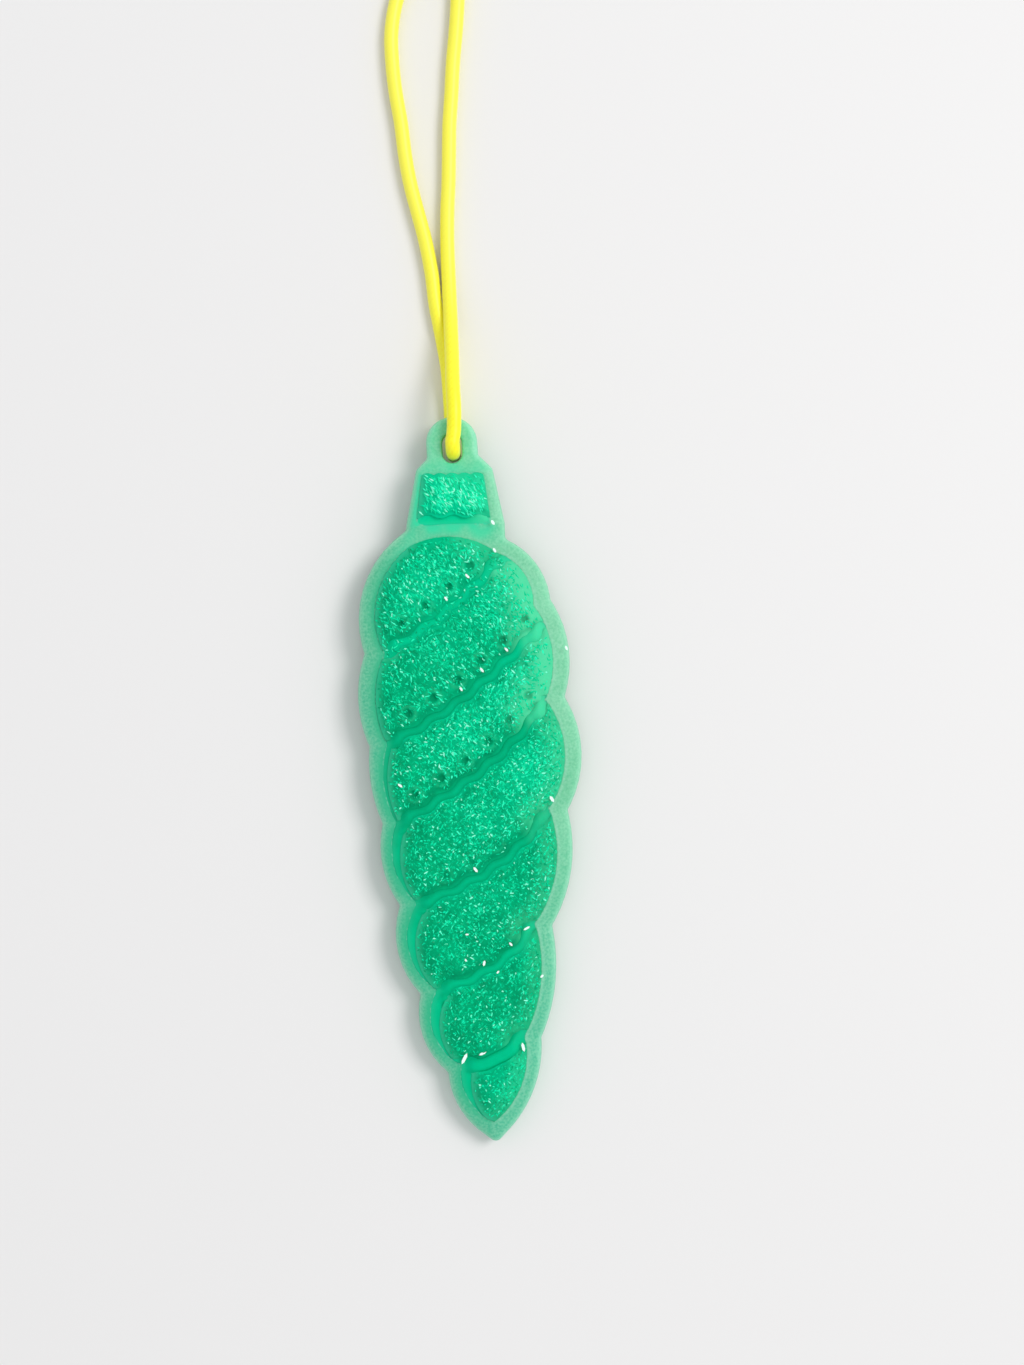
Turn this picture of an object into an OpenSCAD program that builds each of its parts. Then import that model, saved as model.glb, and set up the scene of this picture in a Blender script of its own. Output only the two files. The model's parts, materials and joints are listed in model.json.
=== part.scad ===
// Spiral holiday ornament: a cast resin pendant on an elastic hanging loop.
// A pale border plate carries smooth emerald beds, and glitter cells stand on the beds.
// The pendant lies face up: its tip touches the floor and its tab rests on the cord.
// X runs across the pendant, Y from the tip towards the loop, Z up. Millimetres.

/* [Spiral field] */
// Length of the raised spiral field, from its tip to its top
field_len = 81; // [72:0.5:92]
// Width of the raised spiral field at its widest
field_w = 25.8; // [23:0.2:30]
// Width of the pale border around the spiral field
border_w = 2.4; // [1.8:0.1:3.2]
// Rounding of the border's corners, such as the tip
tip_r = 1; // [0.4:0.1:1.6]
// Rounding at the bottom of the border's notches
notch_r = 0.8; // [0.3:0.1:1.4]

/* [Layers] */
// Thickness of the border plate
plate_t = 3.2; // [2.4:0.1:4.5]
// Height of the smooth beds above the border plate
bed_t = 0.6; // [0.3:0.1:1.2]
// Height of the glitter cells above the beds
cell_t = 1.2; // [0.7:0.1:2]

/* [Ribbons and dimples] */
// Width of the smooth ribbons between the turns
ribbon_w = 1.2; // [0.8:0.1:1.8]
// Width of the smooth ribbon next to the tip
tip_ribbon_w = 1.9; // [1:0.1:2.4]
// Distance from one wave of a ribbon to the next, and between dimples
wave_pitch = 4.1; // [3:0.1:6]
// Height of a ribbon's waves, from the middle line
wave_h = 0.25; // [0.1:0.05:0.7]
// Width of the smooth strip down the left side of the lower turns
side_strip_w = 1.2; // [0.3:0.1:1.6]
// Width of a dimple at its mouth
dimple_d = 1.5; // [0.8:0.1:2]
// Depth of a dimple
dimple_depth = 0.5; // [0.2:0.05:0.6]
// Distance of a dimple row above the middle line of its ribbon
dimple_rise = 2.4; // [2:0.1:3.4]

/* [Cap and tab] */
// Gap of pale border between the spiral field and the cap
cap_gap = 1.2; // [0.6:0.1:2]
// Length of the raised cap field
cap_len = 7.1; // [5:0.1:10]
// Width of the raised cap field at its foot
cap_foot_w = 10.3; // [9:0.1:13]
// Width of the raised cap field at its top
cap_top_w = 8.4; // [7:0.1:11]
// Width of the pale border around the cap
cap_border_w = 1.1; // [0.7:0.1:2]
// Extra width of that border on each side at the cap's foot
cap_flare = 0.5; // [0:0.1:1]
// Height of the sloping shoulders between the cap's border and the tab
shoulder_h = 1.3; // [0.2:0.1:2]
// Width of the smooth strip along the foot of the cap
cap_strip_w = 1.1; // [0.5:0.1:1.8]
// Width of the tab
tab_w = 7; // [6:0.1:9]
// Length of the tab above the cap's border
tab_len = 6.6; // [6:0.1:9]
// Length of the slot in the tab
slot_len = 4.2; // [3.8:0.1:5]

/* [Cord] */
// Diameter of the elastic cord
cord_d = 2; // [1.6:0.1:2.2]
// Room between the cord and the sides of the slot
slot_play = 0.35; // [0.25:0.05:0.6]
// Room between the cord and the faces of the tab
cord_gap = 0.2; // [0.1:0.05:0.5]
// Distance of the cord in the slot to the right of the slot's middle
cord_shift = 0.15; // [0:0.05:0.2]
// Radius of the cord's middle line where it turns out of the slot
bend_r = 1.4; // [1.2:0.05:1.6]
// Length of the knot
knot_len = 5; // [4:0.1:7]
// Diameter of the knot
knot_d = 5.2; // [4.6:0.1:6.5]

/* [Hidden] */
$fn = 64;
turn_count = 7;

border_color = [0.47, 0.80, 0.64];
bed_color = [0.01, 0.74, 0.51];
cell_color = [0.02, 0.68, 0.46];
cord_color = [0.98, 0.94, 0.20];

// Line that the border is drawn around, down the left side, round the tip and up the right side.
// Each row has x in hundredths of field_w, y in hundredths of field_len,
// and the bulge of the arc to the next point in hundredths of field_w.
rim = [
  [-23, 98.3, 10.6],
  [-43.2, 80.4, 5.2],
  [-43.8, 65.2, 3.2],
  [-39, 51.8, 5.8],
  [-31.6, 37.9, 8.4],
  [-23.4, 23, 7.8],
  [-12.6, 10, 4.4],
  [1, 0, 5.4],
  [19.4, 14.3, 5.2],
  [28.2, 33.3, 7],
  [40, 52.7, 9.2],
  [41.5, 71.1, 6.6],
  [38.2, 87.1, 5.6],
  [18.3, 96.4, 6.6]
];
tip_row = 7;
arc_steps = 10;
// How far the spiral field departs from that line, in x and in bulge: on the left it stays clear of
// the border beside the upper turns, and it runs into the border beside the lower ones
field_shift = [
  [-2, 0.3],
  [0.9, 0.1],
  [0, 1.3],
  [-2.3, 1],
  [-2, 1.2],
  [-2, 1.2],
  [-2, 1.7],
  [0, 1.6],
  [0.6, 0.6],
  [0.8, 0.6],
  [0, 0.2],
  [0, 0.2],
  [0, 0],
  [2, 0]
];

// Ribbons from the top down: each starts at a left notch of the rim and ends at its right side.
ribbon_left = [for (i = [1:6]) rim[i]];
ribbon_right = [[23.5, 95.6], [42, 83.6], rim[11], rim[10], rim[9], rim[8]];
// Sag of each ribbon below its chord, in hundredths of field_w
ribbon_sag = [3.6, 5, 6.6, 7.7, 6.2, 4.2];
// How far the lowest point of each sag lies towards the left end, or towards the right below 0
sag_skew = [0.4, 0.4, -0.5, -0.3, -0.5, 0.4];
// Share of wave_h on each ribbon
wave_share = [1, 1, 1, 1, 1, 0.3];
// Distance along each ribbon from its left end to its first dimple, in hundredths of wave_pitch.
// Without dimples it only sets where the waves start.
dimple_first = [112, 118, 99, 125, 100, 49];
// Ribbons, from the top down, with a row of dimples
dimple_rows = 4;
// Least distance of a dimple from the right end of its ribbon
dimple_end = 1;
// Share of side_strip_w that shows beside each turn
strip_share = [0, 0, 0.5, 0.9, 0.9, 1, 1.1];
wave_steps = 8;
// Turn of the cap against the spiral, and distance of its field from the middle
cap_turn = -2.2;
cap_shift = -0.25;
cap_scallops = 5;
cap_scallop_h = 0.3;
cap_wave_h = 0.25;
cap_wave_pitch = cap_foot_w / 3;
// Reach of the helper shapes past the outline
past = 5;

// Route of the front strand from the slot: x, y, and share of the height over the floor
front_run = [
  [0.3, 3, 1],
  [0.5, 6, 1],
  [0.5, 9.5, 0.84],
  [0.6, 13.5, 0.56],
  [0.65, 17.5, 0.32],
  [0.7, 21.5, 0.14],
  [0.75, 26, 0.03],
  [0.85, 30, 0],
  [1.1, 34, 0],
  [1.5, 38, 0],
  [1.8, 42, 0],
  [2.1, 46, 0],
  [2.6, 50, 0],
  [3.1, 54.5, 0],
  [3.7, 58.5, 0],
  [4.2, 62.5, 0],
  [4.5, 66, 0],
  [4.4, 69.5, 0],
  [3.8, 72.5, 0.1]
];
// Route of the back strand from the slot
back_run = [
  [-0.1, 4, 0],
  [-0.1, 8, 0],
  [-0.2, 12, 0],
  [-0.5, 15, 0],
  [-0.9, 18, 0],
  [-1.35, 21.5, 0],
  [-1.6, 25.5, 0],
  [-2.2, 30, 0],
  [-3, 34, 0],
  [-3.8, 38, 0],
  [-4.3, 42, 0],
  [-4.6, 46.5, 0],
  [-5.1, 51, 0],
  [-5.3, 55, 0],
  [-5.2, 59, 0],
  [-4.4, 63, 0],
  [-3, 66.5, 0],
  [-1.4, 69.5, 0],
  [0, 72.5, 0.1]
];
// Foot of the knot from the slot
knot_at = [1.9, 77];
// Routes of the two tails from the head of the knot: x, y, and height over the knot's middle
left_tail = [[-0.3, 2.5, -0.5], [-1.1, 5, -1], [-2.2, 7, -1]];
right_tail = [[0.2, 2.5, -0.4], [0.6, 5.5, -1], [1.6, 9, -1]];
cord_sides = 8;

// Places and sizes worked out from the values above
slot_w = cord_d + 2 * slot_play;
dimple_r = (dimple_d * dimple_d / 4 + dimple_depth * dimple_depth) / (2 * dimple_depth);
field_at = function (p) [p[0] * field_w / 100, p[1] * field_len / 100];
cap_y = field_len + cap_gap;
cap_end = cap_y + cap_len + cap_border_w;
tab_end = cap_end + tab_len;
slot_top_y = tab_end - tab_w / 2;
slot_y = slot_top_y - (slot_len - slot_w);
cell_z = plate_t + bed_t;

// Arc from p to q that bulges to the right of the way by h, without its last point
function arc(p, q, h) =
  let (c = norm(q - p), u = (q - p) / c, n = [u[1], -u[0]])
  let (r = (c * c / 4 + h * h) / (2 * h), half = asin(c / 2 / r))
  let (mid = (p + q) / 2 - n * (r - h))
  [for (k = [0:arc_steps - 1])
    let (a = half * (2 * k / arc_steps - 1))
    mid + r * (cos(a) * n + sin(a) * u)];

// Points of a rim, with its arcs
function rim_points(rows) = [for (i = [0:len(rows) - 1])
  each arc(
    field_at(rows[i]),
    field_at(rows[(i + 1) % len(rows)]),
    rows[i][2] * field_w / 100
  )];

core_points = rim_points(rim);
field_points = rim_points([for (i = [0:len(rim) - 1])
  rim[i] + [field_shift[i][0], 0, field_shift[i][1]]]);

// Lowest point of the border: the tip's corner moved out by the border and rounded
tip_i = tip_row * arc_steps;
tip_p = core_points[tip_i];
tip_u = (core_points[tip_i - 1] - tip_p) / norm(core_points[tip_i - 1] - tip_p);
tip_v = (core_points[tip_i + 1] - tip_p) / norm(core_points[tip_i + 1] - tip_p);
tip_bisector = (tip_u + tip_v) / norm(tip_u + tip_v);
tip_half = acos(tip_u * tip_v) / 2;
tip_y = (tip_p - tip_bisector * (border_w - tip_r) / sin(tip_half))[1] - tip_r;
overall_len = tab_end - tip_y;

// The tab is lifted by the cord under it, so the pendant leans on its tip
tilt = asin((cord_d + cord_gap) / (slot_y - tip_y));
centre_y = (overall_len * cos(tilt) - plate_t * sin(tilt)) / 2;
slot_row_y = (slot_y - tip_y) * cos(tilt) - centre_y;
floor_z = cord_d / 2;
top_z = overall_len * sin(tilt) + plate_t * cos(tilt) + cord_gap + cord_d / 2;

// Point at share t of ribbon i, moved sideways by off
function ribbon_point(i, t, off) =
  let (a = field_at(ribbon_left[i]), b = field_at(ribbon_right[i]))
  let (c = norm(b - a), u = (b - a) / c, n = [-u[1], u[0]], s = t * c)
  let (sag = ribbon_sag[i] * field_w / 100 * 4 * t * (1 - t) * (1 - sag_skew[i] * (t - 0.5)))
  a + u * s + n * (off - sag);

function ribbon_len(i) = norm(field_at(ribbon_right[i]) - field_at(ribbon_left[i]));

function first_dimple(i) = dimple_first[i] * wave_pitch / 100;

// Waves of ribbon i: lowest next to each dimple
function wave(i, s) = -wave_h * wave_share[i] * cos(360 * (s - first_dimple(i)) / wave_pitch);

function ribbon_width(i) = i == len(ribbon_left) - 1 ? tip_ribbon_w : ribbon_w;

// Edge of ribbon i from left to right, side 1 for its upper edge and -1 for its lower edge.
// It runs on level past both ends, out of the field.
function ribbon_edge(i, side) =
  let (c = ribbon_len(i), steps = ceil(c / wave_pitch * wave_steps))
  let (edge = [for (k = [0:steps])
    let (t = k / steps)
    ribbon_point(i, t, wave(i, t * c) + side * ribbon_width(i) / 2)])
  concat([edge[0] - [field_w, 0]], edge, [edge[steps] + [field_w, 0]]);

function backwards(list) = [for (k = [len(list) - 1:-1:0]) list[k]];

// Puts a shape of the flat pendant, measured from the field's tip, into its leaning place
module place() {
  translate([0, -centre_y, 0])
    rotate([tilt, 0, 0])
      translate([0, -tip_y, 0])
        children();
}

module field_outline() {
  polygon(field_points);
}

// Turns the cap a little against the spiral, about its middle
module turn_cap() {
  translate([0, cap_y + cap_len / 2])
    rotate(cap_turn)
      translate([0, -cap_y - cap_len / 2])
        children();
}

// Outline of the cap's field; its top edge is scalloped
module cap_outline() {
  steps = cap_scallops * wave_steps;
  top_edge = [for (k = [0:steps])
    let (x = cap_top_w * (0.5 - k / steps))
    [x, cap_y + cap_len - cap_scallop_h * (1 - abs(sin(180 * k / wave_steps)))]];
  polygon(concat([[-cap_foot_w / 2, cap_y], [cap_foot_w / 2, cap_y]], top_edge));
}

// Shape inside the cap's border: it runs on under the field, spreads at the foot
// and slopes towards the tab
module cap_core_outline() {
  half_top = cap_top_w / 2;
  half_foot = cap_foot_w / 2 + cap_flare;
  polygon([
    [-half_foot, field_len - past],
    [half_foot, field_len - past],
    [half_foot, cap_y],
    [half_top, cap_y + cap_len],
    [half_top - shoulder_h, cap_y + cap_len + shoulder_h],
    [-half_top + shoulder_h, cap_y + cap_len + shoulder_h],
    [-half_top, cap_y + cap_len],
    [-half_foot, cap_y]
  ]);
}

module tab_outline() {
  translate([0, slot_top_y]) circle(d = tab_w);
  translate([-tab_w / 2, cap_y]) square([tab_w, slot_top_y - cap_y]);
}

module plate_outline() {
  offset(r = -notch_r)
    offset(delta = notch_r) {
      offset(r = tip_r)
        offset(delta = border_w - tip_r)
          polygon(core_points);
      offset(r = cap_border_w)
        turn_cap()
          cap_core_outline();
      tab_outline();
    }
}

module slot_cut() {
  translate([0, slot_top_y, -past]) cylinder(d = slot_w, h = plate_t + 2 * past);
  translate([0, slot_y, -past]) cylinder(d = slot_w, h = plate_t + 2 * past);
  translate([-slot_w / 2, slot_y, -past]) cube([slot_w, slot_top_y - slot_y, plate_t + 2 * past]);
}

module border_plate() {
  color(border_color)
    place()
      difference() {
        linear_extrude(plate_t) plate_outline();
        slot_cut();
      }
}

module spiral_bed() {
  color(bed_color)
    place()
      translate([0, 0, plate_t])
        linear_extrude(bed_t) field_outline();
}

module cap_bed() {
  color(bed_color)
    place()
      translate([0, 0, plate_t])
        linear_extrude(bed_t)
          turn_cap()
            translate([cap_shift, 0])
              cap_outline();
}

// Strip of the field that turn i fills, between the ribbons above and below it
module turn_strip(i) {
  above = i == 1
    ? [[-field_w, field_len + past], [field_w, field_len + past]]
    : ribbon_edge(i - 2, -1);
  below = i == turn_count
    ? [[-field_w, -past], [field_w, -past]]
    : ribbon_edge(i - 1, 1);
  polygon(concat(below, backwards(above)));
}

// Row of dimples along ribbon i
module dimple_row(i) {
  c = ribbon_len(i);
  for (s = [first_dimple(i):wave_pitch:c - dimple_end])
    translate(concat(ribbon_point(i, s / c, dimple_rise), cell_z + cell_t - dimple_depth + dimple_r))
      sphere(r = dimple_r);
}

module spiral_turn(i) {
  strip = strip_share[i - 1] * side_strip_w;
  color(cell_color)
    place()
      difference() {
        translate([0, 0, cell_z])
          linear_extrude(cell_t)
            intersection() {
              field_outline();
              translate([strip, -strip]) field_outline();
              turn_strip(i);
            }
        if (i <= dimple_rows)
          dimple_row(i - 1);
      }
}

// Glitter cell of the cap, with a wavy foot above the smooth strip
module cap_cell() {
  steps = 3 * wave_steps;
  foot = [for (k = [0:steps])
    let (x = cap_foot_w * (k / steps - 0.5))
    [x, cap_y + cap_strip_w + cap_wave_h * cos(360 * x / cap_wave_pitch)]];
  color(cell_color)
    place()
      translate([0, 0, cell_z])
        linear_extrude(cell_t)
          turn_cap()
            translate([cap_shift, 0])
              intersection() {
                cap_outline();
                polygon(concat(foot, [[cap_foot_w / 2, cap_end], [-cap_foot_w / 2, cap_end]]));
              }
}

// Places a shape of the cord, measured from the middle of the cord in the slot
module at_slot() {
  translate([cord_shift, slot_row_y, 0]) children();
}

// Quarter turn of the cord, from straight up to straight along Y
module cord_bend() {
  translate([0, bend_r, 0])
    rotate([90, 0, -90])
      rotate_extrude(angle = 90)
        translate([bend_r, 0])
          circle(d = cord_d);
}

module cord_bight() {
  color(cord_color)
    at_slot() {
      translate([0, 0, floor_z + bend_r])
        cylinder(d = cord_d, h = top_z - floor_z - 2 * bend_r);
      translate([0, 0, top_z - bend_r])
        cord_bend();
      translate([0, 0, floor_z + bend_r])
        mirror([0, 0, 1])
          cord_bend();
    }
}

// Tube with flat sides along a path that starts, and where square_end is true ends, along Y
module tube(path, square_end) {
  last = len(path) - 1;
  ring_r = cord_d / 2 / cos(180 / cord_sides);
  points = [for (i = [0:last])
    let (along = i == 0 || (i == last && square_end)
      ? [0, 1, 0]
      : path[min(i + 1, last)] - path[i - 1])
    let (side = cross(along, [0, 0, 1]) / norm(cross(along, [0, 0, 1])))
    let (up = cross(side, along / norm(along)))
    for (k = [0:cord_sides - 1])
      let (a = 360 * (k + 0.5) / cord_sides)
      path[i] + ring_r * (cos(a) * side + sin(a) * up)];
  walls = [for (i = [0:last - 1], k = [0:cord_sides - 1])
    let (a = i * cord_sides + k, b = i * cord_sides + (k + 1) % cord_sides)
    each [[a, a + cord_sides, b], [b, a + cord_sides, b + cord_sides]]];
  end = last * cord_sides;
  caps = [for (k = [1:cord_sides - 2])
    each [[0, k, k + 1], [end, end + k + 1, end + k]]];
  polyhedron(points, concat(walls, caps));
}

// Heights of a strand's route become true heights over the floor
function strand_path(start_z, run, end_x) =
  concat(
    [[0, bend_r, start_z]],
    [for (p = run) [p[0], p[1], floor_z + p[2] * (top_z - floor_z)]],
    [[end_x, knot_at[1], knot_d / 2]]
  );

module cord_front_strand() {
  color(cord_color)
    at_slot()
      tube(strand_path(top_z, front_run, knot_at[0] + cord_d / 2), true);
}

module cord_back_strand() {
  color(cord_color)
    at_slot()
      tube(strand_path(floor_z, back_run, knot_at[0] - cord_d / 2), true);
}

module cord_knot() {
  steps = 8;
  end_r = knot_d * 0.4;
  side = [for (k = [0:steps])
    [end_r + (knot_d / 2 - end_r) * sin(180 * k / steps), knot_len * k / steps]];
  color(cord_color)
    at_slot()
      translate([knot_at[0], knot_at[1], knot_d / 2])
        rotate([-90, 0, 0])
          rotate_extrude()
            polygon(concat([[0, 0]], side, [[0, knot_len]]));
}

// Free end of the cord past the knot, side -1 on the left and 1 on the right
module cord_tail(side, run) {
  start = [knot_at[0] + side * cord_d / 2, knot_at[1] + knot_len, knot_d / 2];
  color(cord_color)
    at_slot()
      tube(concat([start], [for (p = run) start + [p[0], p[1], p[2] * (knot_d / 2 - floor_z)]]), false);
}

border_plate();
spiral_bed();
cap_bed();
cap_cell();
for (i = [1:turn_count])
  spiral_turn(i);
cord_bight();
cord_front_strand();
cord_back_strand();
cord_knot();
cord_tail(-1, left_tail);  // cord_left_tail
cord_tail(1, right_tail);  // cord_right_tail
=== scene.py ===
# %% [markdown]
# # A spiral ornament in cast resin
#
# The object is a flat holiday ornament, about 100 mm long. A pale resin plate carries raised glitter
# turns that wind down to a tip, and a loop of yellow elastic cord goes through a slot in its tab. A CAD
# model gives every piece its place and size. This lesson dresses that model, piece by piece, in the
# same frame. Blender works in metres here, and the shapes are written in millimetres, so `MM` turns one
# into the other.

# %% Load the frame
import json
import math
import random

import bmesh
import bpy
import numpy as np
from mathutils import Matrix, Vector, geometry, noise


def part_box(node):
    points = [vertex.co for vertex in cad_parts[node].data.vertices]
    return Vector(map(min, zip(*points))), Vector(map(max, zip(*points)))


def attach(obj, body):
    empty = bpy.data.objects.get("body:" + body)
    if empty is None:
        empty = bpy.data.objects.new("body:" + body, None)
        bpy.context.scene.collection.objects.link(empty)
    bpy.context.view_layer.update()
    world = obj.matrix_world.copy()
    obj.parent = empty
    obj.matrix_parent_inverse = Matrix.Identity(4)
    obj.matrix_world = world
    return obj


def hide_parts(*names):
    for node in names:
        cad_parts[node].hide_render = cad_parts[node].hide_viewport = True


MM = 0.001
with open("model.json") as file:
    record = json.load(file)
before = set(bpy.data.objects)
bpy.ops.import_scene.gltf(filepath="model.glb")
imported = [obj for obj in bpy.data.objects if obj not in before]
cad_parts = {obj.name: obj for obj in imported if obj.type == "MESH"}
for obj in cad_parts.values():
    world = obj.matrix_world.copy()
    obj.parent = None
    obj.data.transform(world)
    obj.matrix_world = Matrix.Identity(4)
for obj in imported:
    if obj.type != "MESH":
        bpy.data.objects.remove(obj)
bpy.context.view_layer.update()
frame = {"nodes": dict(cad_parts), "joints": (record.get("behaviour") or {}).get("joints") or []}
scene = bpy.context.scene
print("CAD nodes:", len(frame["nodes"]))

# %% [markdown]
# ## Camera
#
# The picture looks straight down on the ornament from about the length of a forearm, turned by a few
# degrees. A lens and a distance that belong together give the width of table that fits in the frame:
# the lens is to the sensor's width as the distance is to that width. Starting with the camera makes
# each later step easy to compare.

# %% Set the camera
VIEW_WIDTH = 141.4 * MM
VIEW_CENTRE = (6.3 * MM, 13.1 * MM)
VIEW_TURN = math.radians(-3.43)
FACE_HEIGHT = 2.8 * MM
CAMERA_DISTANCE = 300 * MM
CLIP_START = 10 * MM

camera_data = bpy.data.cameras.new("camera_above")
camera_data.sensor_fit = "HORIZONTAL"
camera_data.lens = camera_data.sensor_width * CAMERA_DISTANCE / VIEW_WIDTH
camera_data.clip_start = CLIP_START
camera = bpy.data.objects.new("camera_above", camera_data)
camera.location = (*VIEW_CENTRE, FACE_HEIGHT + CAMERA_DISTANCE)
camera.rotation_euler = (0, 0, VIEW_TURN)
scene.collection.objects.link(camera)
scene.camera = camera
print("Lens:", round(camera_data.lens, 1), "mm")

# %% [markdown]
# ## Making mesh objects
#
# Most pieces here are computed point by point, so one small helper turns points and faces into a smooth
# object. It can also store a number on every point. Blender calls that an attribute, and a material can
# read it, which is how a finish knows where an edge or a groove is.

# %% Helper for new objects
def new_object(name, points, faces, values=None, flat_from=None):
    mesh = bpy.data.meshes.new(name)
    mesh.from_pydata([tuple(p) for p in points], [], faces)
    smooth = [flat_from is None or i < flat_from for i in range(len(faces))]
    mesh.polygons.foreach_set("use_smooth", smooth)
    for key, numbers in (values or {}).items():
        mesh.attributes.new(key, "FLOAT", "POINT").data.foreach_set("value", numbers)
    mesh.update()
    piece = bpy.data.objects.new(name, mesh)
    scene.collection.objects.link(piece)
    return piece


def ride_in_place_of(piece, body, slot, *nodes):
    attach(piece, body)
    if nodes:
        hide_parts(*nodes)
    print(piece.name, len(piece.data.polygons), "faces on", body)


# %% [markdown]
# ## The cord's route
#
# The cord is 2 mm elastic. It goes through the slot once, and its two strands run up the table to a
# knot. Its facts come first: where it leaves the slot, how thick it is and where it ends. The points
# below are those of the CAD solids, measured from the slot in millimetres, with a height as a share of
# the way up from the table to the top of the tab. A Catmull-Rom curve runs through them, because such a
# curve passes through every point without a kink.

# %% Points of the strands
CORD_R = 1 * MM
BEND_R = 1.4 * MM
FRONT_RUN = [
    (0.3, 3, 1), (0.5, 6, 1), (0.5, 9.5, 0.84), (0.6, 13.5, 0.56), (0.65, 17.5, 0.32),
    (0.7, 21.5, 0.14), (0.75, 26, 0.03), (0.85, 30, 0), (1.1, 34, 0), (1.5, 38, 0),
    (1.8, 42, 0), (2.1, 46, 0), (2.6, 50, 0), (3.1, 54.5, 0), (3.7, 58.5, 0),
    (4.2, 62.5, 0), (4.5, 66, 0), (4.4, 69.5, 0), (3.8, 72.5, 0.1),
]
BACK_RUN = [
    (-0.1, 4, 0), (-0.1, 8, 0), (-0.2, 12, 0), (-0.5, 15, 0), (-0.9, 18, 0),
    (-1.35, 21.5, 0), (-1.6, 25.5, 0), (-2.2, 30, 0), (-3, 34, 0), (-3.8, 38, 0),
    (-4.3, 42, 0), (-4.6, 46.5, 0), (-5.1, 51, 0), (-5.3, 55, 0), (-5.2, 59, 0),
    (-4.4, 63, 0), (-3, 66.5, 0), (-1.4, 69.5, 0), (0, 72.5, 0.1),
]

slot_x, slot_y, _ = frame["joints"][0]["pos_m"]
bight_low, bight_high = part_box("cord_bight")
LOW_Z = bight_low.z + CORD_R
HIGH_Z = bight_high.z - CORD_R
knot_low, knot_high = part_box("cord_knot")
knot_middle = (knot_low + knot_high) / 2
print("Slot at", round(slot_x, 5), round(slot_y, 5), "knot from", round(knot_low.y, 5))

# %% Routes of the strands
ROUTE_STEP = 0.3 * MM


def curve_point(a, b, c, d, t):
    bend = (2 * a - 5 * b + 4 * c - d) * t * t + (3 * b - a - 3 * c + d) * t**3
    return (2 * b + (c - a) * t + bend) / 2


def smooth_route(points, step):
    ends = [2 * points[0] - points[1], *points, 2 * points[-1] - points[-2]]
    route = []
    for a, b, c, d in zip(ends, ends[1:], ends[2:], ends[3:]):
        count = max(2, round((c - b).length / step))
        route += [curve_point(a, b, c, d, k / count) for k in range(count)]
    return [*route, points[-1]]


def strand_route(start_z, run, side):
    start = Vector((slot_x, slot_y + BEND_R, start_z))
    middle = [
        Vector((slot_x + x * MM, slot_y + y * MM, LOW_Z + share * (HIGH_Z - LOW_Z)))
        for x, y, share in run
    ]
    foot = Vector((knot_middle.x + side * CORD_R, knot_low.y, knot_middle.z))
    return smooth_route([start, *middle, foot], ROUTE_STEP)


def route_length(route):
    return sum((b - a).length for a, b in zip(route, route[1:]))


front_route = strand_route(HIGH_Z, FRONT_RUN, 1)
back_route = strand_route(LOW_Z, BACK_RUN, -1)
print("Strands:", round(route_length(front_route), 4), round(route_length(back_route), 4), "m")

# %% [markdown]
# ## The braided cord
#
# Elastic cord of this kind has a rubber core in a fine braided sleeve. Seen from a step away it is a
# smooth bright line, and close up it has a diamond pattern. A curve with a round bevel would give only
# the line, so the tube is swept by hand: a ring of points at each step of the route, each moved out a
# little where one of two opposite spirals of yarn passes. The height of the yarn is stored as an
# attribute for the finish, and so is how far the cord is from the slot, because it is paler further up.

# %% Frames along the whole cord
BEND_STEPS = 12
ACROSS = Vector((1, 0, 0))


def quarter_turn(centre_z, start, end):
    return [
        Vector((slot_x, slot_y + BEND_R - BEND_R * math.cos(a), centre_z + BEND_R * math.sin(a)))
        for a in (math.radians(start + (end - start) * k / BEND_STEPS) for k in range(BEND_STEPS + 1))
    ]


def ring_frames(route):
    last = len(route) - 1
    ways = [(route[min(i + 1, last)] - route[max(i - 1, 0)]).normalized() for i in range(last + 1)]
    side = (ACROSS - ways[0] * ways[0].dot(ACROSS)).normalized()
    frames = []
    for before, way in zip([ways[0], *ways], ways):
        side = before.rotation_difference(way) @ side
        frames.append((way, side, way.cross(side)))
    return frames


bight_route = quarter_turn(LOW_Z + BEND_R, -90, 0) + quarter_turn(HIGH_Z - BEND_R, 0, 90)
whole_route = [*reversed(back_route), *bight_route[1:], *front_route[1:]]
whole_frames = ring_frames(whole_route)
print("Whole cord up to the knot:", round(route_length(whole_route), 4), "m,", len(whole_route), "rings")

# %% Sweep a braided tube
CORD_SIDES = 32
YARNS = 8
YARN_RISE = 0.016 * MM
YARN_PITCH = 6.4 * MM
BLEACH_FROM = 6 * MM
BLEACH_OVER = 30 * MM
slot_middle = Vector((slot_x, slot_y, (LOW_Z + HIGH_Z) / 2))


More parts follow.
